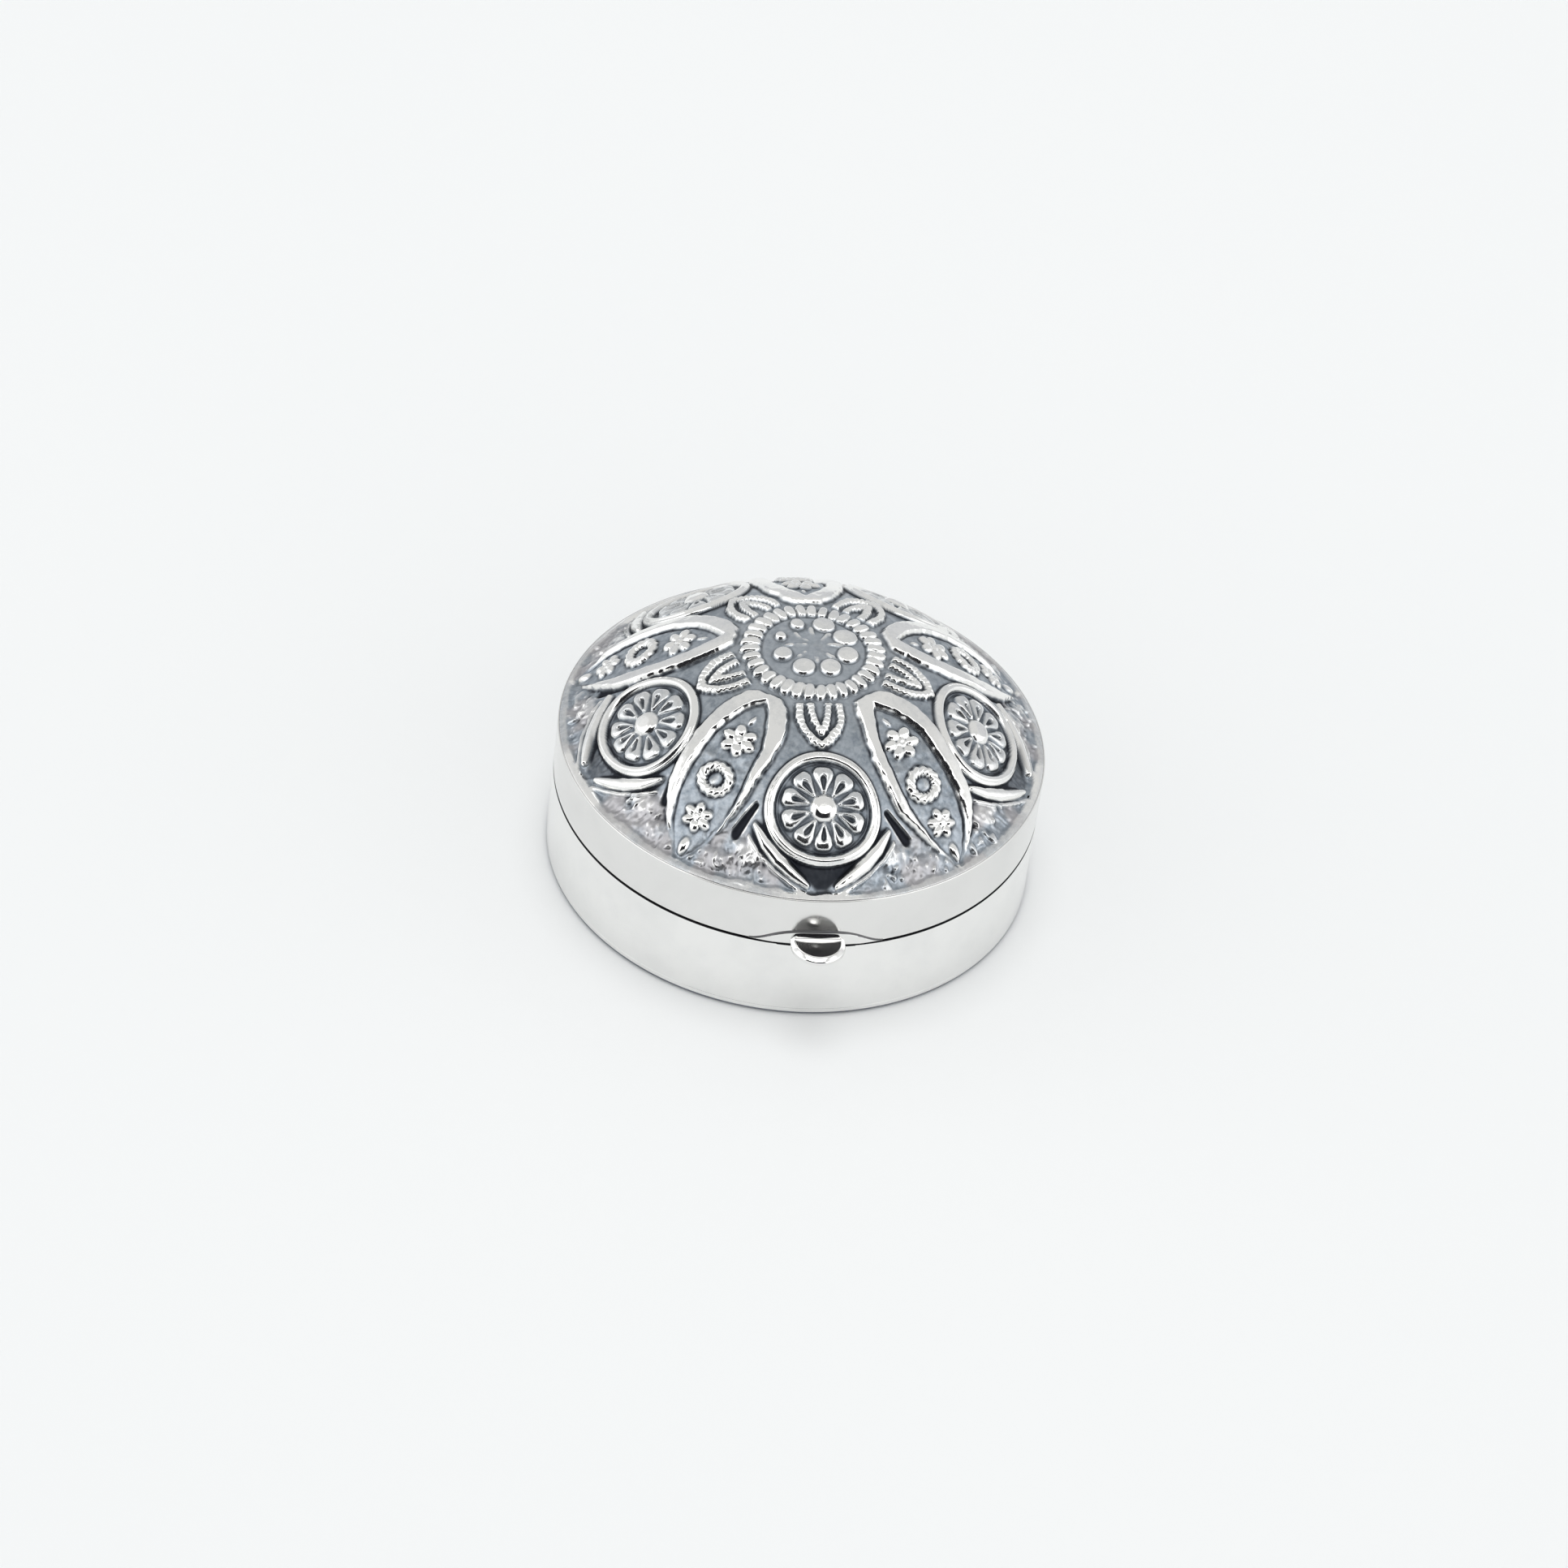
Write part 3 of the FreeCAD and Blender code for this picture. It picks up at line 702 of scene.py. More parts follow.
def math_node(nt, op, a, b=None, clamp=False):
    m = nt.nodes.new("ShaderNodeMath")
    m.operation = op
    m.use_clamp = clamp
    for i, val in enumerate((a, b)):
        if val is None:
            continue
        if isinstance(val, (int, float)):
            m.inputs[i].default_value = val
        else:
            nt.links.new(val, m.inputs[i])
    return m.outputs[0]


def object_coords(nt):
    return nt.nodes.new("ShaderNodeTexCoord").outputs["Object"]


def around(nt, coords):
    """Coordinates that run round the axis: (angle times radius, radius, height), for lathe marks."""
    sep = nt.nodes.new("ShaderNodeSeparateXYZ")
    nt.links.new(coords, sep.inputs[0])
    ang = nt.nodes.new("ShaderNodeMath")
    ang.operation = "ARCTAN2"
    nt.links.new(sep.outputs["Y"], ang.inputs[0])
    nt.links.new(sep.outputs["X"], ang.inputs[1])
    arc = math_node(nt, "MULTIPLY", ang.outputs[0], 0.017)
    rad = math_node(nt, "SQRT", math_node(nt, "ADD", math_node(nt, "MULTIPLY", sep.outputs["X"], sep.outputs["X"]),
                                          math_node(nt, "MULTIPLY", sep.outputs["Y"], sep.outputs["Y"])))
    comb = nt.nodes.new("ShaderNodeCombineXYZ")
    nt.links.new(arc, comb.inputs[0])
    nt.links.new(rad, comb.inputs[1])
    nt.links.new(sep.outputs["Z"], comb.inputs[2])
    return comb.outputs[0]


def silver(name, base, dark, rough, bump=0.05, scratch=0.35, tarnish=0.5, lathe_marks=False):
    """Sterling silver: slight cloudiness, fine scratches, and a little tarnish that follows the noise."""
    m, nt, bsdf = new_material(name)
    co = object_coords(nt)
    cloud = noise(nt, co, 260.0, 5.0, 0.6)
    fine = noise(nt, co, 2600.0, 3.0, 0.6)
    where = around(nt, co) if lathe_marks else co
    lines = noise(nt, where, 900.0, 4.0, 0.65, (0.035, 1.0, 1.0) if lathe_marks else (0.12, 1.0, 1.0))
    lines2 = noise(nt, co, 700.0, 4.0, 0.7, (1.0, 0.06, 0.5))
    stain = remap(nt, cloud, 0.42, 0.72, 0.0, tarnish)
    col = mix_color(nt, stain, base, dark)
    nt.links.new(col, bsdf.inputs["Base Color"])
    bsdf.inputs["Metallic"].default_value = 1.0
    r1 = remap(nt, cloud, 0.3, 0.7, rough * 0.85, rough * 1.2)
    r2 = remap(nt, lines, 0.35, 0.75, 0.0, 0.06)
    nt.links.new(math_node(nt, "ADD", r1, r2), bsdf.inputs["Roughness"])
    mixed = math_node(nt, "ADD", math_node(nt, "MULTIPLY", lines, scratch), math_node(nt, "MULTIPLY", lines2, scratch * 0.5))
    mixed = math_node(nt, "ADD", mixed, math_node(nt, "MULTIPLY", fine, 0.25))
    b = nt.nodes.new("ShaderNodeBump")
    b.inputs["Strength"].default_value = bump
    b.inputs["Distance"].default_value = 0.00004
    nt.links.new(mixed, b.inputs["Height"])
    nt.links.new(b.outputs[0], bsdf.inputs["Normal"])
    return m


def embossed_silver():
    m, nt, bsdf = new_material("embossed_silver")
    co = object_coords(nt)

    def attribute(name):
        a = nt.nodes.new("ShaderNodeAttribute")
        a.attribute_type = "GEOMETRY"
        a.attribute_name = name
        return a.outputs["Fac"]

    tarnish, crevice_shade, stain, crown = attribute("tarnish"), attribute("crevice_shade"), attribute("stain"), attribute("crown")
    cloud = noise(nt, co, 420.0, 6.0, 0.6)
    speck = noise(nt, co, 3200.0, 3.0, 0.65)
    wear = math_node(nt, "ADD", tarnish, remap(nt, cloud, 0.3, 0.7, -0.16, 0.16))
    wear = math_node(nt, "ADD", wear, remap(nt, speck, 0.3, 0.7, -0.10, 0.10), clamp=True)
    bright = mix_color(nt, remap(nt, cloud, 0.35, 0.7, 0.0, 0.35), (0.930, 0.925, 0.905), (0.83, 0.835, 0.83))
    mottle = noise(nt, co, 1900.0, 4.0, 0.62)
    patch = math_node(nt, "ADD", remap(nt, cloud, 0.35, 0.65, 0.0, 0.60), remap(nt, mottle, 0.34, 0.66, -0.32, 0.72), clamp=True)
    blue = mix_color(nt, patch, (0.232, 0.268, 0.308), (0.425, 0.465, 0.508))
    # painted light: the sunk ground is coloured lighter towards the crown
    blue = mix_color(nt, math_node(nt, "MULTIPLY", crown, 0.42), blue, (0.520, 0.555, 0.590))
    blue = mix_color(nt, math_node(nt, "MULTIPLY", stain, 0.75), blue, (0.445, 0.425, 0.430))
    col = mix_color(nt, wear, bright, blue)
    # painted shade: near-black colour in the creases, slots and pits
    col = mix_color(nt, math_node(nt, "MULTIPLY", crevice_shade, 0.985), col, (0.020, 0.022, 0.029))
    nt.links.new(col, bsdf.inputs["Base Color"])
    bsdf.inputs["Metallic"].default_value = 1.0
    rough = math_node(nt, "ADD", remap(nt, wear, 0.0, 1.0, 0.11, 0.36), math_node(nt, "MULTIPLY", crevice_shade, 0.20))
    nt.links.new(rough, bsdf.inputs["Roughness"])
    grain = noise(nt, co, 5200.0, 2.0, 0.5)
    hammer = noise(nt, co, 1100.0, 3.0, 0.5)
    height = math_node(nt, "ADD", math_node(nt, "MULTIPLY", grain, 0.25), hammer)
    b = nt.nodes.new("ShaderNodeBump")
    b.inputs["Strength"].default_value = 0.38
    b.inputs["Distance"].default_value = 0.00003
    nt.links.new(height, b.inputs["Height"])
    nt.links.new(b.outputs[0], bsdf.inputs["Normal"])
    return m


POLISHED = silver("polished_silver", (0.795, 0.792, 0.780), (0.70, 0.70, 0.69), 0.11, bump=0.12, lathe_marks=True, tarnish=0.40)
# painted light: the base's silver is the lid band's silver painted lighter, standing in for the bright light on the
# floor in front of the box that the base reflects
BASE_LIGHTER_SILVER = silver("base_silver_painted_lighter", (0.880, 0.879, 0.866), (0.765, 0.768, 0.762), 0.11, bump=0.13, lathe_marks=True, tarnish=0.52)
# painted shade: the base's rounded bottom edge is coloured dark blue-grey, standing in for the dark contact shadow that
# it reflects
FOOT = silver("foot_painted_shade", (0.235, 0.25, 0.285), (0.15, 0.16, 0.185), 0.30, bump=0.2, tarnish=0.7)
EMBOSSED = embossed_silver()
INNER = silver("inner_silver", (0.90, 0.895, 0.875), (0.74, 0.73, 0.70), 0.20, bump=0.25, scratch=0.6, lathe_marks=True, tarnish=0.55)
HINGE_M = silver("hinge_silver", (0.88, 0.875, 0.855), (0.55, 0.55, 0.54), 0.15, bump=0.15, tarnish=0.8)
TUBE_M = silver("hinge_tube_silver", (0.86, 0.855, 0.835), (0.50, 0.50, 0.49), 0.13, bump=0.12, tarnish=0.7)
# mostly painted shade: the narrow shut line between lid and base is coloured near black, with some tarnish there as
# well
SEAM = silver("seam_shade_and_tarnish", (0.020, 0.020, 0.023), (0.012, 0.012, 0.014), 0.42, bump=0.2, tarnish=0.8)
TAB_POLISH = silver("tab_polished_silver", (0.83, 0.827, 0.815), (0.72, 0.72, 0.71), 0.045, bump=0.06, scratch=0.2, tarnish=0.30)
SOLDER = silver("solder_line", (0.15, 0.15, 0.155), (0.07, 0.07, 0.075), 0.30, bump=0.2, tarnish=0.8)
PIN_M = silver("pin_silver", (0.82, 0.815, 0.80), (0.45, 0.45, 0.44), 0.22, bump=0.2, tarnish=0.8)


def dress(ob, mat):
    ob.data.materials.clear()
    ob.data.materials.append(mat)


# ------------------------------------------------------------------ pieces
def hinge_cutter(name):
    n = 128
    r, x0, x1 = 1.0, -5.12, 5.12
    verts, faces = [], []
    for x in (x0, x1):
        for k in range(n):
            t = 2 * math.pi * k / n
            verts.append((x, HINGE[1] + r * math.cos(t), HINGE[2] + r * math.sin(t)))
    for k in range(n):
        m = (k + 1) % n
        faces.append((k, m, n + m, n + k))
    faces.append(tuple(range(n - 1, -1, -1)))
    faces.append(tuple(range(n, 2 * n)))
    return mesh_object(name, verts, faces, smooth=False)


def fix_normals(ob):
    import bmesh

    bm = bmesh.new()
    bm.from_mesh(ob.data)
    bmesh.ops.recalc_face_normals(bm, faces=bm.faces)
    bm.to_mesh(ob.data)
    bm.free()


def darken(ob, mat, test):
    """Gives a second material to the faces whose centre (mm) and normal pass the test."""
    ob.data.materials.append(mat)
    k = len(ob.data.materials) - 1
    for f in ob.data.polygons:
        c = f.center / MM
        if test(math.hypot(c.x, c.y), c.z, f.normal):
            f.material_index = k


dome_piece = embossed_dome()
dress(dome_piece, EMBOSSED)
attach(dome_piece, "lid")
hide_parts("lid_dome")

band = lathe("lid_band", subdivide_outline(rounded_loop([
    (LID_IN, LID_LOW, 0.05), (R - 0.30, LID_LOW, 0.0), (R, LID_LOW, 0.11), (R, BAND_TOP, 0.07), (LID_IN, BAND_TOP, 0.0)])))
cut_with(band, hinge_cutter("lid_cutter"))
fix_normals(band)
sharpen(band, 40)
dress(band, POLISHED)
# painted shade with some tarnish on the lid's rim face at the shut line
darken(band, SEAM, lambda r, z, n: z < LID_LOW + 0.08 and n.z < -0.3 and r > R - 0.22)
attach(band, "lid")
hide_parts("lid_wall")

wall = lathe("base_band", subdivide_outline(rounded_loop([
    (LINER_R, PLATE_T, 0.0), (R, PLATE_T, 0.0), (R, BASE_TOP, 0.11), (R - 0.30, BASE_TOP, 0.0), (LINER_R, BASE_TOP, 0.0)])))
cut_with(wall, hinge_cutter("base_cutter"))
fix_normals(wall)
sharpen(wall, 40)
# painted light: the base band takes the lighter copy of the silver
dress(wall, BASE_LIGHTER_SILVER)
# painted shade with some tarnish on the base's top face at the shut line
darken(wall, SEAM, lambda r, z, n: z > BASE_TOP - 0.07 and n.z > 0.45 and r > R - 0.27)
# near the front, round the tab, the painted shade of the shut line reaches further in and lower
for f in wall.data.polygons:
    c = f.center / MM
    if c.y < 0 and math.hypot(c.x, c.y) > R - 0.27:
        k = math.exp(-(c.x / 5.5) ** 2)
        if c.z > BASE_TOP - 0.07 - 0.04 * k and f.normal.z > 0.45 - 0.38 * k:
            f.material_index = 1
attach(wall, "base")
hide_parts("base_wall")

floor_disc = lathe("base_disc", subdivide_outline(rounded_loop([
    (0.0, 0.0, 0.0), (R, 0.0, 0.36), (R, PLATE_T, 0.02), (0.0, PLATE_T, 0.0)])))
fix_normals(floor_disc)
sharpen(floor_disc, 40)
# painted light: the base disc's edge takes the lighter copy of the silver
dress(floor_disc, BASE_LIGHTER_SILVER)
# painted shade on the lowest part of the base's rounded edge
darken(floor_disc, FOOT, lambda r, z, n: z < 0.37)
darken(floor_disc, INNER, lambda r, z, n: z > PLATE_T - 0.05 and r < LINER_R)
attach(floor_disc, "base")
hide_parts("base_plate")

LINER_T = 0.45
liner = lathe("inner_liner", subdivide_outline(rounded_loop([
    (LINER_R - LINER_T, PLATE_T, 0.0), (LINER_R, PLATE_T, 0.0), (LINER_R, LINER_TOP, 0.17), (LINER_R - LINER_T, LINER_TOP, 0.13)])))
fix_normals(liner)
sharpen(liner, 40)
dress(liner, INNER)
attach(liner, "base")
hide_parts("base_liner")

_thumb = [[float(c) / MM for c in corner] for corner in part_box("thumb_piece")]


def tab_blank():
    """The round-ended tab: sloping rim, lightly dished top, flat underside."""
    wide = 1.88
    mid_y = _thumb[0][1] + wide
    low = _thumb[0][2] + 0.23
    r_low, back_y = 0.08, -(R - 0.22)
    tip = math.radians(47.5)
    r_side, z_side = 0.17, low + 0.22

    def rim(d):
        """Height of the sloping rim at an inset d from the outline."""
        d1 = r_side * (1 - math.cos(tip))
        if d <= d1:
            return z_side + math.sqrt(max(0.0, r_side ** 2 - (r_side - d) ** 2))
        return z_side + r_side * math.sin(tip) + (d - d1) / math.tan(tip)

    def top(x, y):
        w = -y - R
        z = 0.512 + 0.045 * (max(w, 0.0) / 2.12) ** 2 - 0.020 * math.exp(-((w - 1.20) ** 2 + (x + 0.28) ** 2) / 0.34 ** 2)
        z += 0.09 * max(0.0, 1 - max(w - 0.12, 0.0) / 0.14) ** 2
        return low + z + 0.018 * (x / 1.3) ** 2

    levels = []
    d_in = 0.38
    for k in range(26):
        levels.append(("top", wide + (d_in - wide) * (k / 26) ** 0.95))
    for k in range(12):
        levels.append(("top", d_in + (r_side * (1 - math.cos(tip)) - d_in) * k / 12))
    for k in range(9):
        levels.append(("top", r_side * (1 - math.cos(tip * (1 - k / 8)))))
    for k in range(0, 8):
        a = math.pi / 2 * k / 7
        levels.append((low + r_low - r_low * math.sin(a), r_low * (1 - math.cos(a))))
    levels.append((low, wide * 0.5))
    levels.append((low, wide))
    verts, rows = [], []
    for kind, d in levels:
        rr = wide - d
        pts = [(rr, back_y + (mid_y - back_y) * k / 24) for k in range(24)]
        pts += [(rr * math.cos(math.pi * k / 96), mid_y - rr * math.sin(math.pi * k / 96)) for k in range(97)]
        pts += [(-rr, mid_y + (back_y - mid_y) * k / 24) for k in range(1, 25)]
        rows.append(range(len(verts), len(verts) + len(pts)))
        for x, y in pts:
            if kind == "top":
                a, b = rim(d), top(x, y)
                z = (a + b - math.sqrt((a - b) ** 2 + 0.035 ** 2)) / 2 if d > 0.02 else a
            else:
                z = kind
            verts.append((x, y, z))
    faces = []
    for a, b in zip(rows[:-1], rows[1:]):
        for k in range(len(a) - 1):
            faces.append((a[k], b[k], b[k + 1], a[k + 1]))
    faces.append(tuple([r[0] for r in rows] + [r[-1] for r in reversed(rows)]))
    return verts, faces


ROOT_LOW = LID_LOW + 0.06


def root_height(x):
    """Height of the root plate's upper edge above its lower one."""
    tallest = _thumb[1][2] - ROOT_LOW
    tx, tz = np.array([(0, 1.00), (1.2, 0.97), (2.0, 0.87), (2.7, 0.68), (3.3, 0.44), (3.9, 0.18), (4.4, 0.05), (4.6, 0.03)]).T
    tall = max(0.03, tallest * sum(float(np.interp(abs(x + o), tx, tz)) for o in (-0.24, -0.12, 0, 0.12, 0.24)) / 5)
    return min(tall, tallest - 0.001)


def root_blank():
    """The arched root plate that spreads the tab along the band."""
    half = _thumb[1][0]
    low = ROOT_LOW
    verts, rows = [], []
    n = 150
    for i in range(n + 1):
        x = -half + 2 * half * i / n
        tall = root_height(x)
        thick = 0.20 * min(1.0, tall / 0.70) ** 0.6
        sec = [(-0.10, low)]
        for k in range(33):
            t = (1 - math.cos(math.pi * k / 32)) / 2
            belly = math.sqrt(max(0.0, 1 - (1 - min(t / 0.22, 1.0)) ** 2))
            belly *= 1 - 0.45 * max(0.0, (t - 0.35) / 0.65) ** 1.5
            belly *= math.sqrt(max(0.0, 1 - max(0.0, (t - 0.88) / 0.12) ** 2))
            sec.append((thick * belly, low + tall * t))
        sec.append((-0.10, low + tall))
        phi = -math.pi / 2 + math.asin(x / (R + thick))
        rows.append(range(len(verts), len(verts) + len(sec)))
        for e, z in sec:
            verts.append(((R + e) * math.cos(phi), (R + e) * math.sin(phi), z))
    faces = []
    for a, b in zip(rows[:-1], rows[1:]):
        m = len(a)
        for k in range(m):
            faces.append((a[k], a[(k + 1) % m], b[(k + 1) % m], b[k]))
    faces.append(tuple(rows[0]))
    faces.append(tuple(reversed(rows[-1])))
    return verts, faces


def weld(ob):
    import bmesh

    bm = bmesh.new()
    bm.from_mesh(ob.data)
    bmesh.ops.remove_doubles(bm, verts=bm.verts, dist=1e-7)
    bmesh.ops.dissolve_degenerate(bm, edges=bm.edges, dist=1e-8)
    bmesh.ops.recalc_face_normals(bm, faces=bm.faces)
    bm.to_mesh(ob.data)
    bm.free()


tab = mesh_object("lifting_tab", *tab_blank())
root = mesh_object("tab_root", *root_blank())
weld(tab)
weld(root)
cut_with(tab, root, "UNION")
fix_normals(tab)
sharpen(tab, 38)
dress(tab, TAB_POLISH)
tab.data.materials.append(SOLDER)
for f in tab.data.polygons:
    c = f.center / MM
    if c.z > ROOT_LOW + root_height(c.x) - 0.085 and math.hypot(c.x, c.y) > R - 0.01 and f.normal.z > 0.12:
        f.material_index = 1
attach(tab, "lid")
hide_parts("thumb_piece")

# ------------------------------------------------------------------ the hinge
KNUCKLE_NODES = ["base_knuckle_left", "lid_knuckle_left", "base_knuckle_middle", "lid_knuckle_right", "base_knuckle_right"]
SPANS = [(float(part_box(n)[0][0]) / MM, float(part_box(n)[1][0]) / MM) for n in KNUCKLE_NODES]
TUBE = round(float(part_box("base_knuckle_middle")[1][2]) / MM - HINGE[2], 3) - 0.004
_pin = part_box("hinge_pin")
PIN = round(float(_pin[1][2]) / MM - HINGE[2], 3)


def turned_x(name, outline, segments=96):
    """A closed ring, or a rod where the outline touches the axis, turned about the hinge axis."""
    ob = lathe(name, [(r, x) for x, r in outline], segments)
    n = len(ob.data.vertices)
    co = np.zeros(n * 3)
    ob.data.vertices.foreach_get("co", co)
    co = co.reshape(-1, 3)
    out = np.stack([co[:, 2], HINGE[1] * MM + co[:, 0], HINGE[2] * MM + co[:, 1]], -1)
    ob.data.vertices.foreach_set("co", out.ravel())
    ob.data.update()
    return ob


def rounded_line(points, radius):
    """An open polyline with its inner corners rounded."""
    out = [points[0]]
    for a, p, b in zip(points[:-2], points[1:-1], points[2:]):
        fa, fb = min(radius / math.dist(a, p), 0.45), min(radius / math.dist(b, p), 0.45)
        u = (p[0] + (a[0] - p[0]) * fa, p[1] + (a[1] - p[1]) * fa)
        w = (p[0] + (b[0] - p[0]) * fb, p[1] + (b[1] - p[1]) * fb)
        for k in range(6):
            t = k / 5
            out.append(((1 - t) ** 2 * u[0] + 2 * t * (1 - t) * p[0] + t * t * w[0],
                        (1 - t) ** 2 * u[1] + 2 * t * (1 - t) * p[1] + t * t * w[1]))
    out.append(points[-1])
    return out


def strip(name, side):
    """The strip that carries one half's knuckles, swept along the hinge; side is +1 for the lid."""
    mine = "lid" if side > 0 else "base"
    half = math.radians(55.5)
    c, s_ = math.cos(half), math.sin(half)
    gap = SPANS[1][0] - SPANS[0][1]
    end = SPANS[-1][1]
    pieces = []
    for node_name, (x0, x1) in zip(KNUCKLE_NODES, SPANS):
        own = node_name.startswith(mine)
        xa, xb = (x0, x1) if own else (max(x0 - gap, -end), min(x1 + gap, end))
        pieces.append((xa, xb, TUBE if own else TUBE + 0.10))
    verts, rows, radii = [], [], []
    for xa, xb, r in pieces:
        xs = [xa + (xb - xa) * k / 8 for k in range(9)]
        if abs(xa + end) < 1e-6:
            xs.insert(1, xa + 0.05)
        if abs(xb - end) < 1e-6:
            xs.insert(-1, xb - 0.05)
        for x in xs:
            y_in = math.sqrt((R - 0.15) ** 2 - x * x) - HINGE[1]
            start = min(math.pi - math.asin(0.05 / r), math.acos(max(y_in / r, -1.0)))
            loop = [(y_in, r * math.sin(start))]
            loop += [(r * math.cos(start + (half - start) * k / 24), r * math.sin(start + (half - start) * k / 24)) for k in range(25)]
            line_ = rounded_line([(r * c, r * s_), (1.32 * c, 1.32 * s_), (1.32 * c - 0.06, 1.32 * s_ + 0.22), (0.36, 1.78),
                                  (0.02, 2.12), (-0.40, 2.34), (min(y_in, -0.52) - 0.001, 2.34)], 0.09)
            loop += line_[1:]
            inset = 0.045 if abs(abs(x) - end) < 1e-6 else 0.0
            row = []
            for k, (y, z) in enumerate(loop):
                if inset and k > 26:
                    y, z = y - inset * 0.7, z - inset * 0.7
                row.append(len(verts))
                verts.append((x, HINGE[1] + y, HINGE[2] + side * z))
            rows.append(row)
            radii.append(r)
    faces, arcs = [], []
    for a, b, ra, rb in zip(rows[:-1], rows[1:], radii[:-1], radii[1:]):
        m = len(a)
        for k in range(m):
            faces.append((a[k], a[(k + 1) % m], b[(k + 1) % m], b[k]))
    faces.append(tuple(rows[0]))
    faces.append(tuple(reversed(rows[-1])))
    ob = mesh_object(name, verts, faces)
    weld(ob)
    fix_normals(ob)
    sharpen(ob, 40)
    dress(ob, HINGE_M)
    ob.data.materials.append(SOLDER)
    for f in ob.data.polygons:
        q = f.center / MM
        if math.hypot(q.y - HINGE[1], q.z - HINGE[2]) < TUBE + 0.135 and abs(f.normal.x) < 0.5:
            f.material_index = 1
    return ob


def hinge_tube(name, x0, x1, bore):
    e = 0.07
    ob = turned_x(name, subdivide_outline(rounded_loop([(x0, bore, 0.0), (x0, TUBE, e), (x1, TUBE, e), (x1, bore, 0.0)])))
    fix_normals(ob)
    sharpen(ob, 40)
    dress(ob, TUBE_M)
    return ob


for node_name, (x0, x1) in zip(KNUCKLE_NODES, SPANS):
    body_name = node_name.split("_")[0]
    piece = hinge_tube("turned_" + node_name, x0, x1, PIN + (0.005 if body_name == "base" else 0.04))
    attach(piece, body_name)
    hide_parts(node_name)

wire_end = float(_pin[1][0]) / MM
wire = turned_x("hinge_wire", subdivide_outline(rounded_loop([
    (-wire_end, 0.0, 0.0), (-wire_end, PIN, 0.10), (wire_end, PIN, 0.10), (wire_end, 0.0, 0.0)])))
fix_normals(wire)
sharpen(wire, 40)
dress(wire, PIN_M)
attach(wire, "base")
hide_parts("hinge_pin")

for body_name, side in (("lid", 1), ("base", -1)):
    piece = strip(body_name + "_hinge_strip", side)
    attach(piece, body_name)
    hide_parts(body_name + "_hinge_bearer")

# ------------------------------------------------------------------ floor, light and camera
fl = bpy.data.meshes.new("floor")
S = 1.6
fl.from_pydata([(-S, -S, 0), (S, -S, 0), (S, S, 0), (-S, S, 0)], [], [(0, 1, 2, 3)])
floor = bpy.data.objects.new("floor", fl)
bpy.context.scene.collection.objects.link(floor)
m, nt, bsdf = new_material("floor_paper")
co = object_coords(nt)
tone = noise(nt, co, 9.0, 3.0, 0.5)
nt.links.new(mix_color(nt, tone, (0.875, 0.890, 0.895), (0.905, 0.915, 0.915)), bsdf.inputs["Base Color"])
nt.links.new(remap(nt, noise(nt, co, 900.0, 3.0, 0.6), 0.3, 0.7, 0.55, 0.7), bsdf.inputs["Roughness"])
bsdf.inputs["Specular IOR Level"].default_value = 0.25
dress(floor, m)

back = Vector((-0.12708, -0.74656, 0.65305)).normalized()
right = Vector((0.99160, -0.07972, 0.10183))
up = Vector((-0.02396, 0.66050, 0.75042))
Rm = R * MM
cam_data = bpy.data.cameras.new("camera")
cam = bpy.data.objects.new("camera", cam_data)
bpy.context.scene.collection.objects.link(cam)
cam_data.sensor_fit = "HORIZONTAL"
cam_data.sensor_width = 36.0
cam_data.lens = 7765.385 / 1932 * 36.0
loc = (back * 26.1453 - right * 0.0111 + up * 0.2706) * Rm
mat4 = Matrix((
    (right.x, up.x, back.x, loc.x),
    (right.y, up.y, back.y, loc.y),
    (right.z, up.z, back.z, loc.z),
    (0, 0, 0, 1)))
cam.matrix_world = mat4
cam_data.clip_start = 0.005
cam_data.clip_end = 20
bpy.context.scene.camera = cam

world = bpy.data.worlds.new("studio")
bpy.context.scene.world = world
world.use_nodes = True
wn = world.node_tree
wn.nodes.clear()
wout = wn.nodes.new("ShaderNodeOutputWorld")
bg = wn.nodes.new("ShaderNodeBackground")
wn.links.new(bg.outputs[0], wout.inputs["Surface"])
direction = wn.nodes.new("ShaderNodeTexCoord").outputs["Generated"]


def lobe_of(vec, inner_deg, outer_deg):
    """1 inside inner_deg of a direction, 0 beyond outer_deg."""
    d = wn.nodes.new("ShaderNodeVectorMath")
    d.operation = "DOT_PRODUCT"
    wn.links.new(direction, d.inputs[0])
    d.inputs[1].default_value = Vector(vec).normalized()
    r_ = wn.nodes.new("ShaderNodeMapRange")
    r_.interpolation_type = "SMOOTHSTEP"
    r_.inputs["From Min"].default_value = math.cos(math.radians(outer_deg))
    r_.inputs["From Max"].default_value = math.cos(math.radians(inner_deg))
    wn.links.new(d.outputs["Value"], r_.inputs["Value"])
    return r_.outputs[0]


def wmath(op, a, b=None, clamp=False):
    return math_node(wn, op, a, b, clamp)


def smooth_step(value, a, b):
    """0 at a and 1 at b, smoothly; a may be the larger."""
    m_ = wn.nodes.new("ShaderNodeMapRange")
    m_.interpolation_type = "SMOOTHSTEP"
    m_.inputs["From Min"].default_value = min(a, b)
    m_.inputs["From Max"].default_value = max(a, b)
    m_.inputs["To Min"].default_value = 0.0 if a < b else 1.0
    m_.inputs["To Max"].default_value = 1.0 if a < b else 0.0
    wn.links.new(value, m_.inputs["Value"])
    return m_.outputs[0]


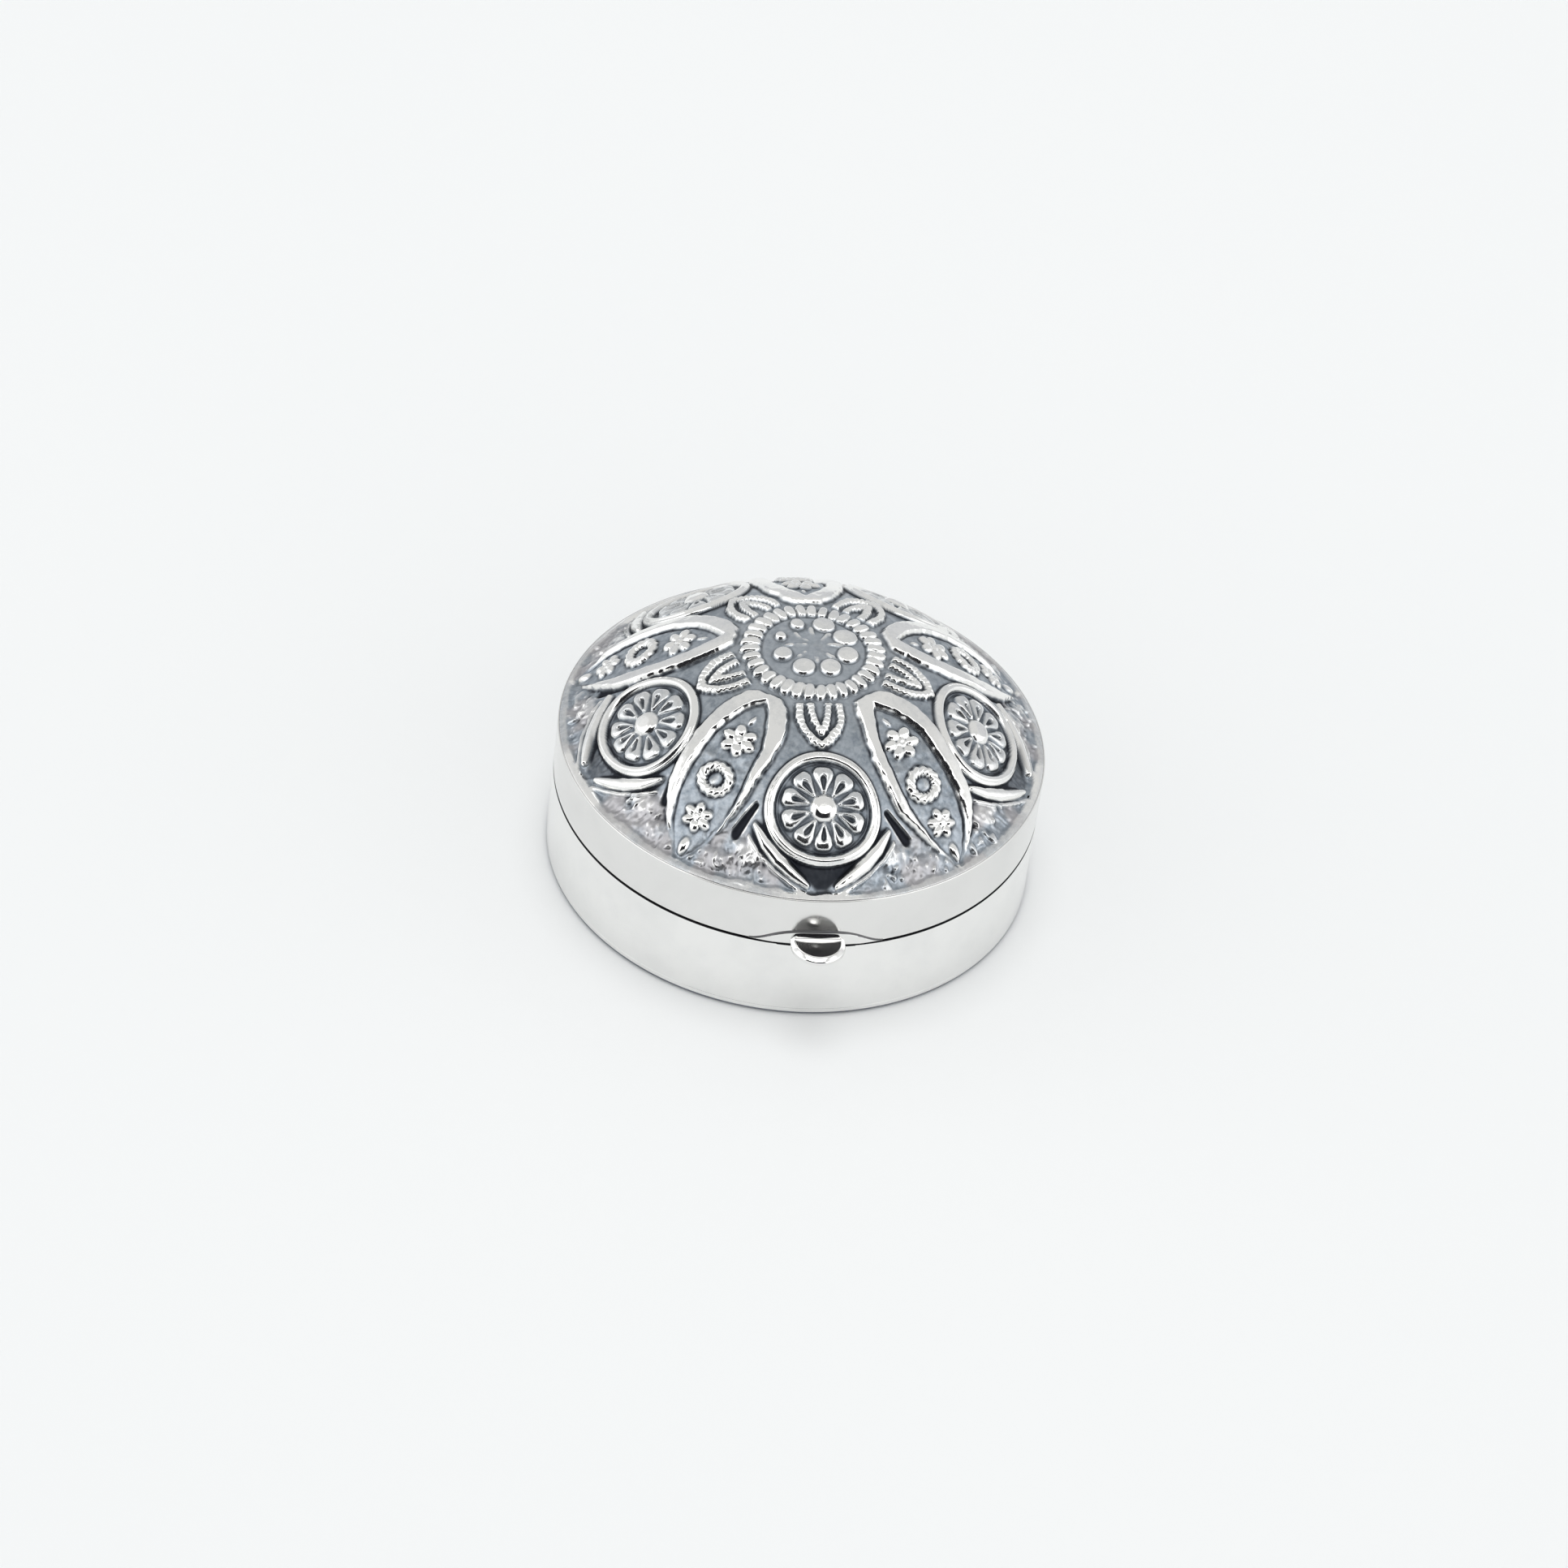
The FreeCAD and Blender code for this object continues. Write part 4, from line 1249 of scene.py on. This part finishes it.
RAD = math.radians
flat = math.hypot(back.x, back.y)
fx, fy = back.x / flat, back.y / flat
xyz = wn.nodes.new("ShaderNodeSeparateXYZ")
wn.links.new(direction, xyz.inputs[0])
elev = wmath("ARCSINE", xyz.outputs["Z"])
ahead = wmath("ADD", wmath("MULTIPLY", xyz.outputs["X"], fx), wmath("MULTIPLY", xyz.outputs["Y"], fy))
aside = wmath("ADD", wmath("MULTIPLY", xyz.outputs["X"], -fy), wmath("MULTIPLY", xyz.outputs["Y"], fx))
azim = wmath("ABSOLUTE", wmath("ARCTAN2", aside, ahead))

# the tent: evenly pale above; low down it is brighter in front and at the sides, a little dimmer behind
glossy = wn.nodes.new("ShaderNodeLightPath").outputs["Is Glossy Ray"]
low_down = mix_color(wn, smooth_step(azim, RAD(90), RAD(135)), (1.55, 1.56, 1.57), (0.66, 0.67, 0.69))
sky = mix_color(wn, smooth_step(elev, RAD(6), RAD(44)), low_down, (0.725, 0.728, 0.725))
flank = wmath("MULTIPLY", smooth_step(azim, RAD(100), RAD(82)), smooth_step(elev, RAD(48), RAD(38)))
sky = mix_color(wn, wmath("MULTIPLY", flank, glossy), sky, (1.75, 1.76, 1.77))
# what stands in front of the box is dark, and only reflections see it
body = wmath("MULTIPLY", smooth_step(azim, RAD(42), RAD(34)), smooth_step(elev, RAD(-9), RAD(-3)))
body = wmath("MULTIPLY", body, smooth_step(elev, RAD(48.5), RAD(46)))
hole = wmath("MULTIPLY", body, glossy)
sky = mix_color(wn, hole, sky, (0.014, 0.014, 0.017))
# one strong panel high in front, over the lens
panel_el = RAD(51.0)
panel = (math.cos(panel_el) * fx, math.cos(panel_el) * fy, math.sin(panel_el))
sky = mix_color(wn, lobe_of(panel, 5.5, 9.0), sky, (3.0, 3.0, 2.97))
# a long strip beside it at the same height, which only reflections see
strip = wmath("MULTIPLY", smooth_step(elev, RAD(48.0), RAD(49.5)), smooth_step(elev, RAD(61.0), RAD(58.0)))
strip = wmath("MULTIPLY", strip, smooth_step(azim, RAD(66), RAD(52)))
sky = mix_color(wn, wmath("MULTIPLY", strip, glossy), sky, (2.6, 2.6, 2.58))
wn.links.new(sky, bg.inputs["Color"])
bg.inputs["Strength"].default_value = 1.0


def area(name, where, at, size, power, color=(1, 1, 1)):
    d = bpy.data.lights.new(name, "AREA")
    d.shape = "DISK"
    d.size = size
    d.energy = power
    d.color = color
    o = bpy.data.objects.new(name, d)
    bpy.context.scene.collection.objects.link(o)
    o.location = where
    o.rotation_euler = (Vector(at) - Vector(where)).to_track_quat("-Z", "Y").to_euler()
    o.visible_glossy = False
    return o


area("overhead", (0.0, 0.06, 0.70), (0, 0, 0), 0.36, 1.00)

vs = bpy.context.scene.view_settings
vs.view_transform = "Standard"
vs.look = "None"
vs.exposure = 0.0
vs.gamma = 1.0
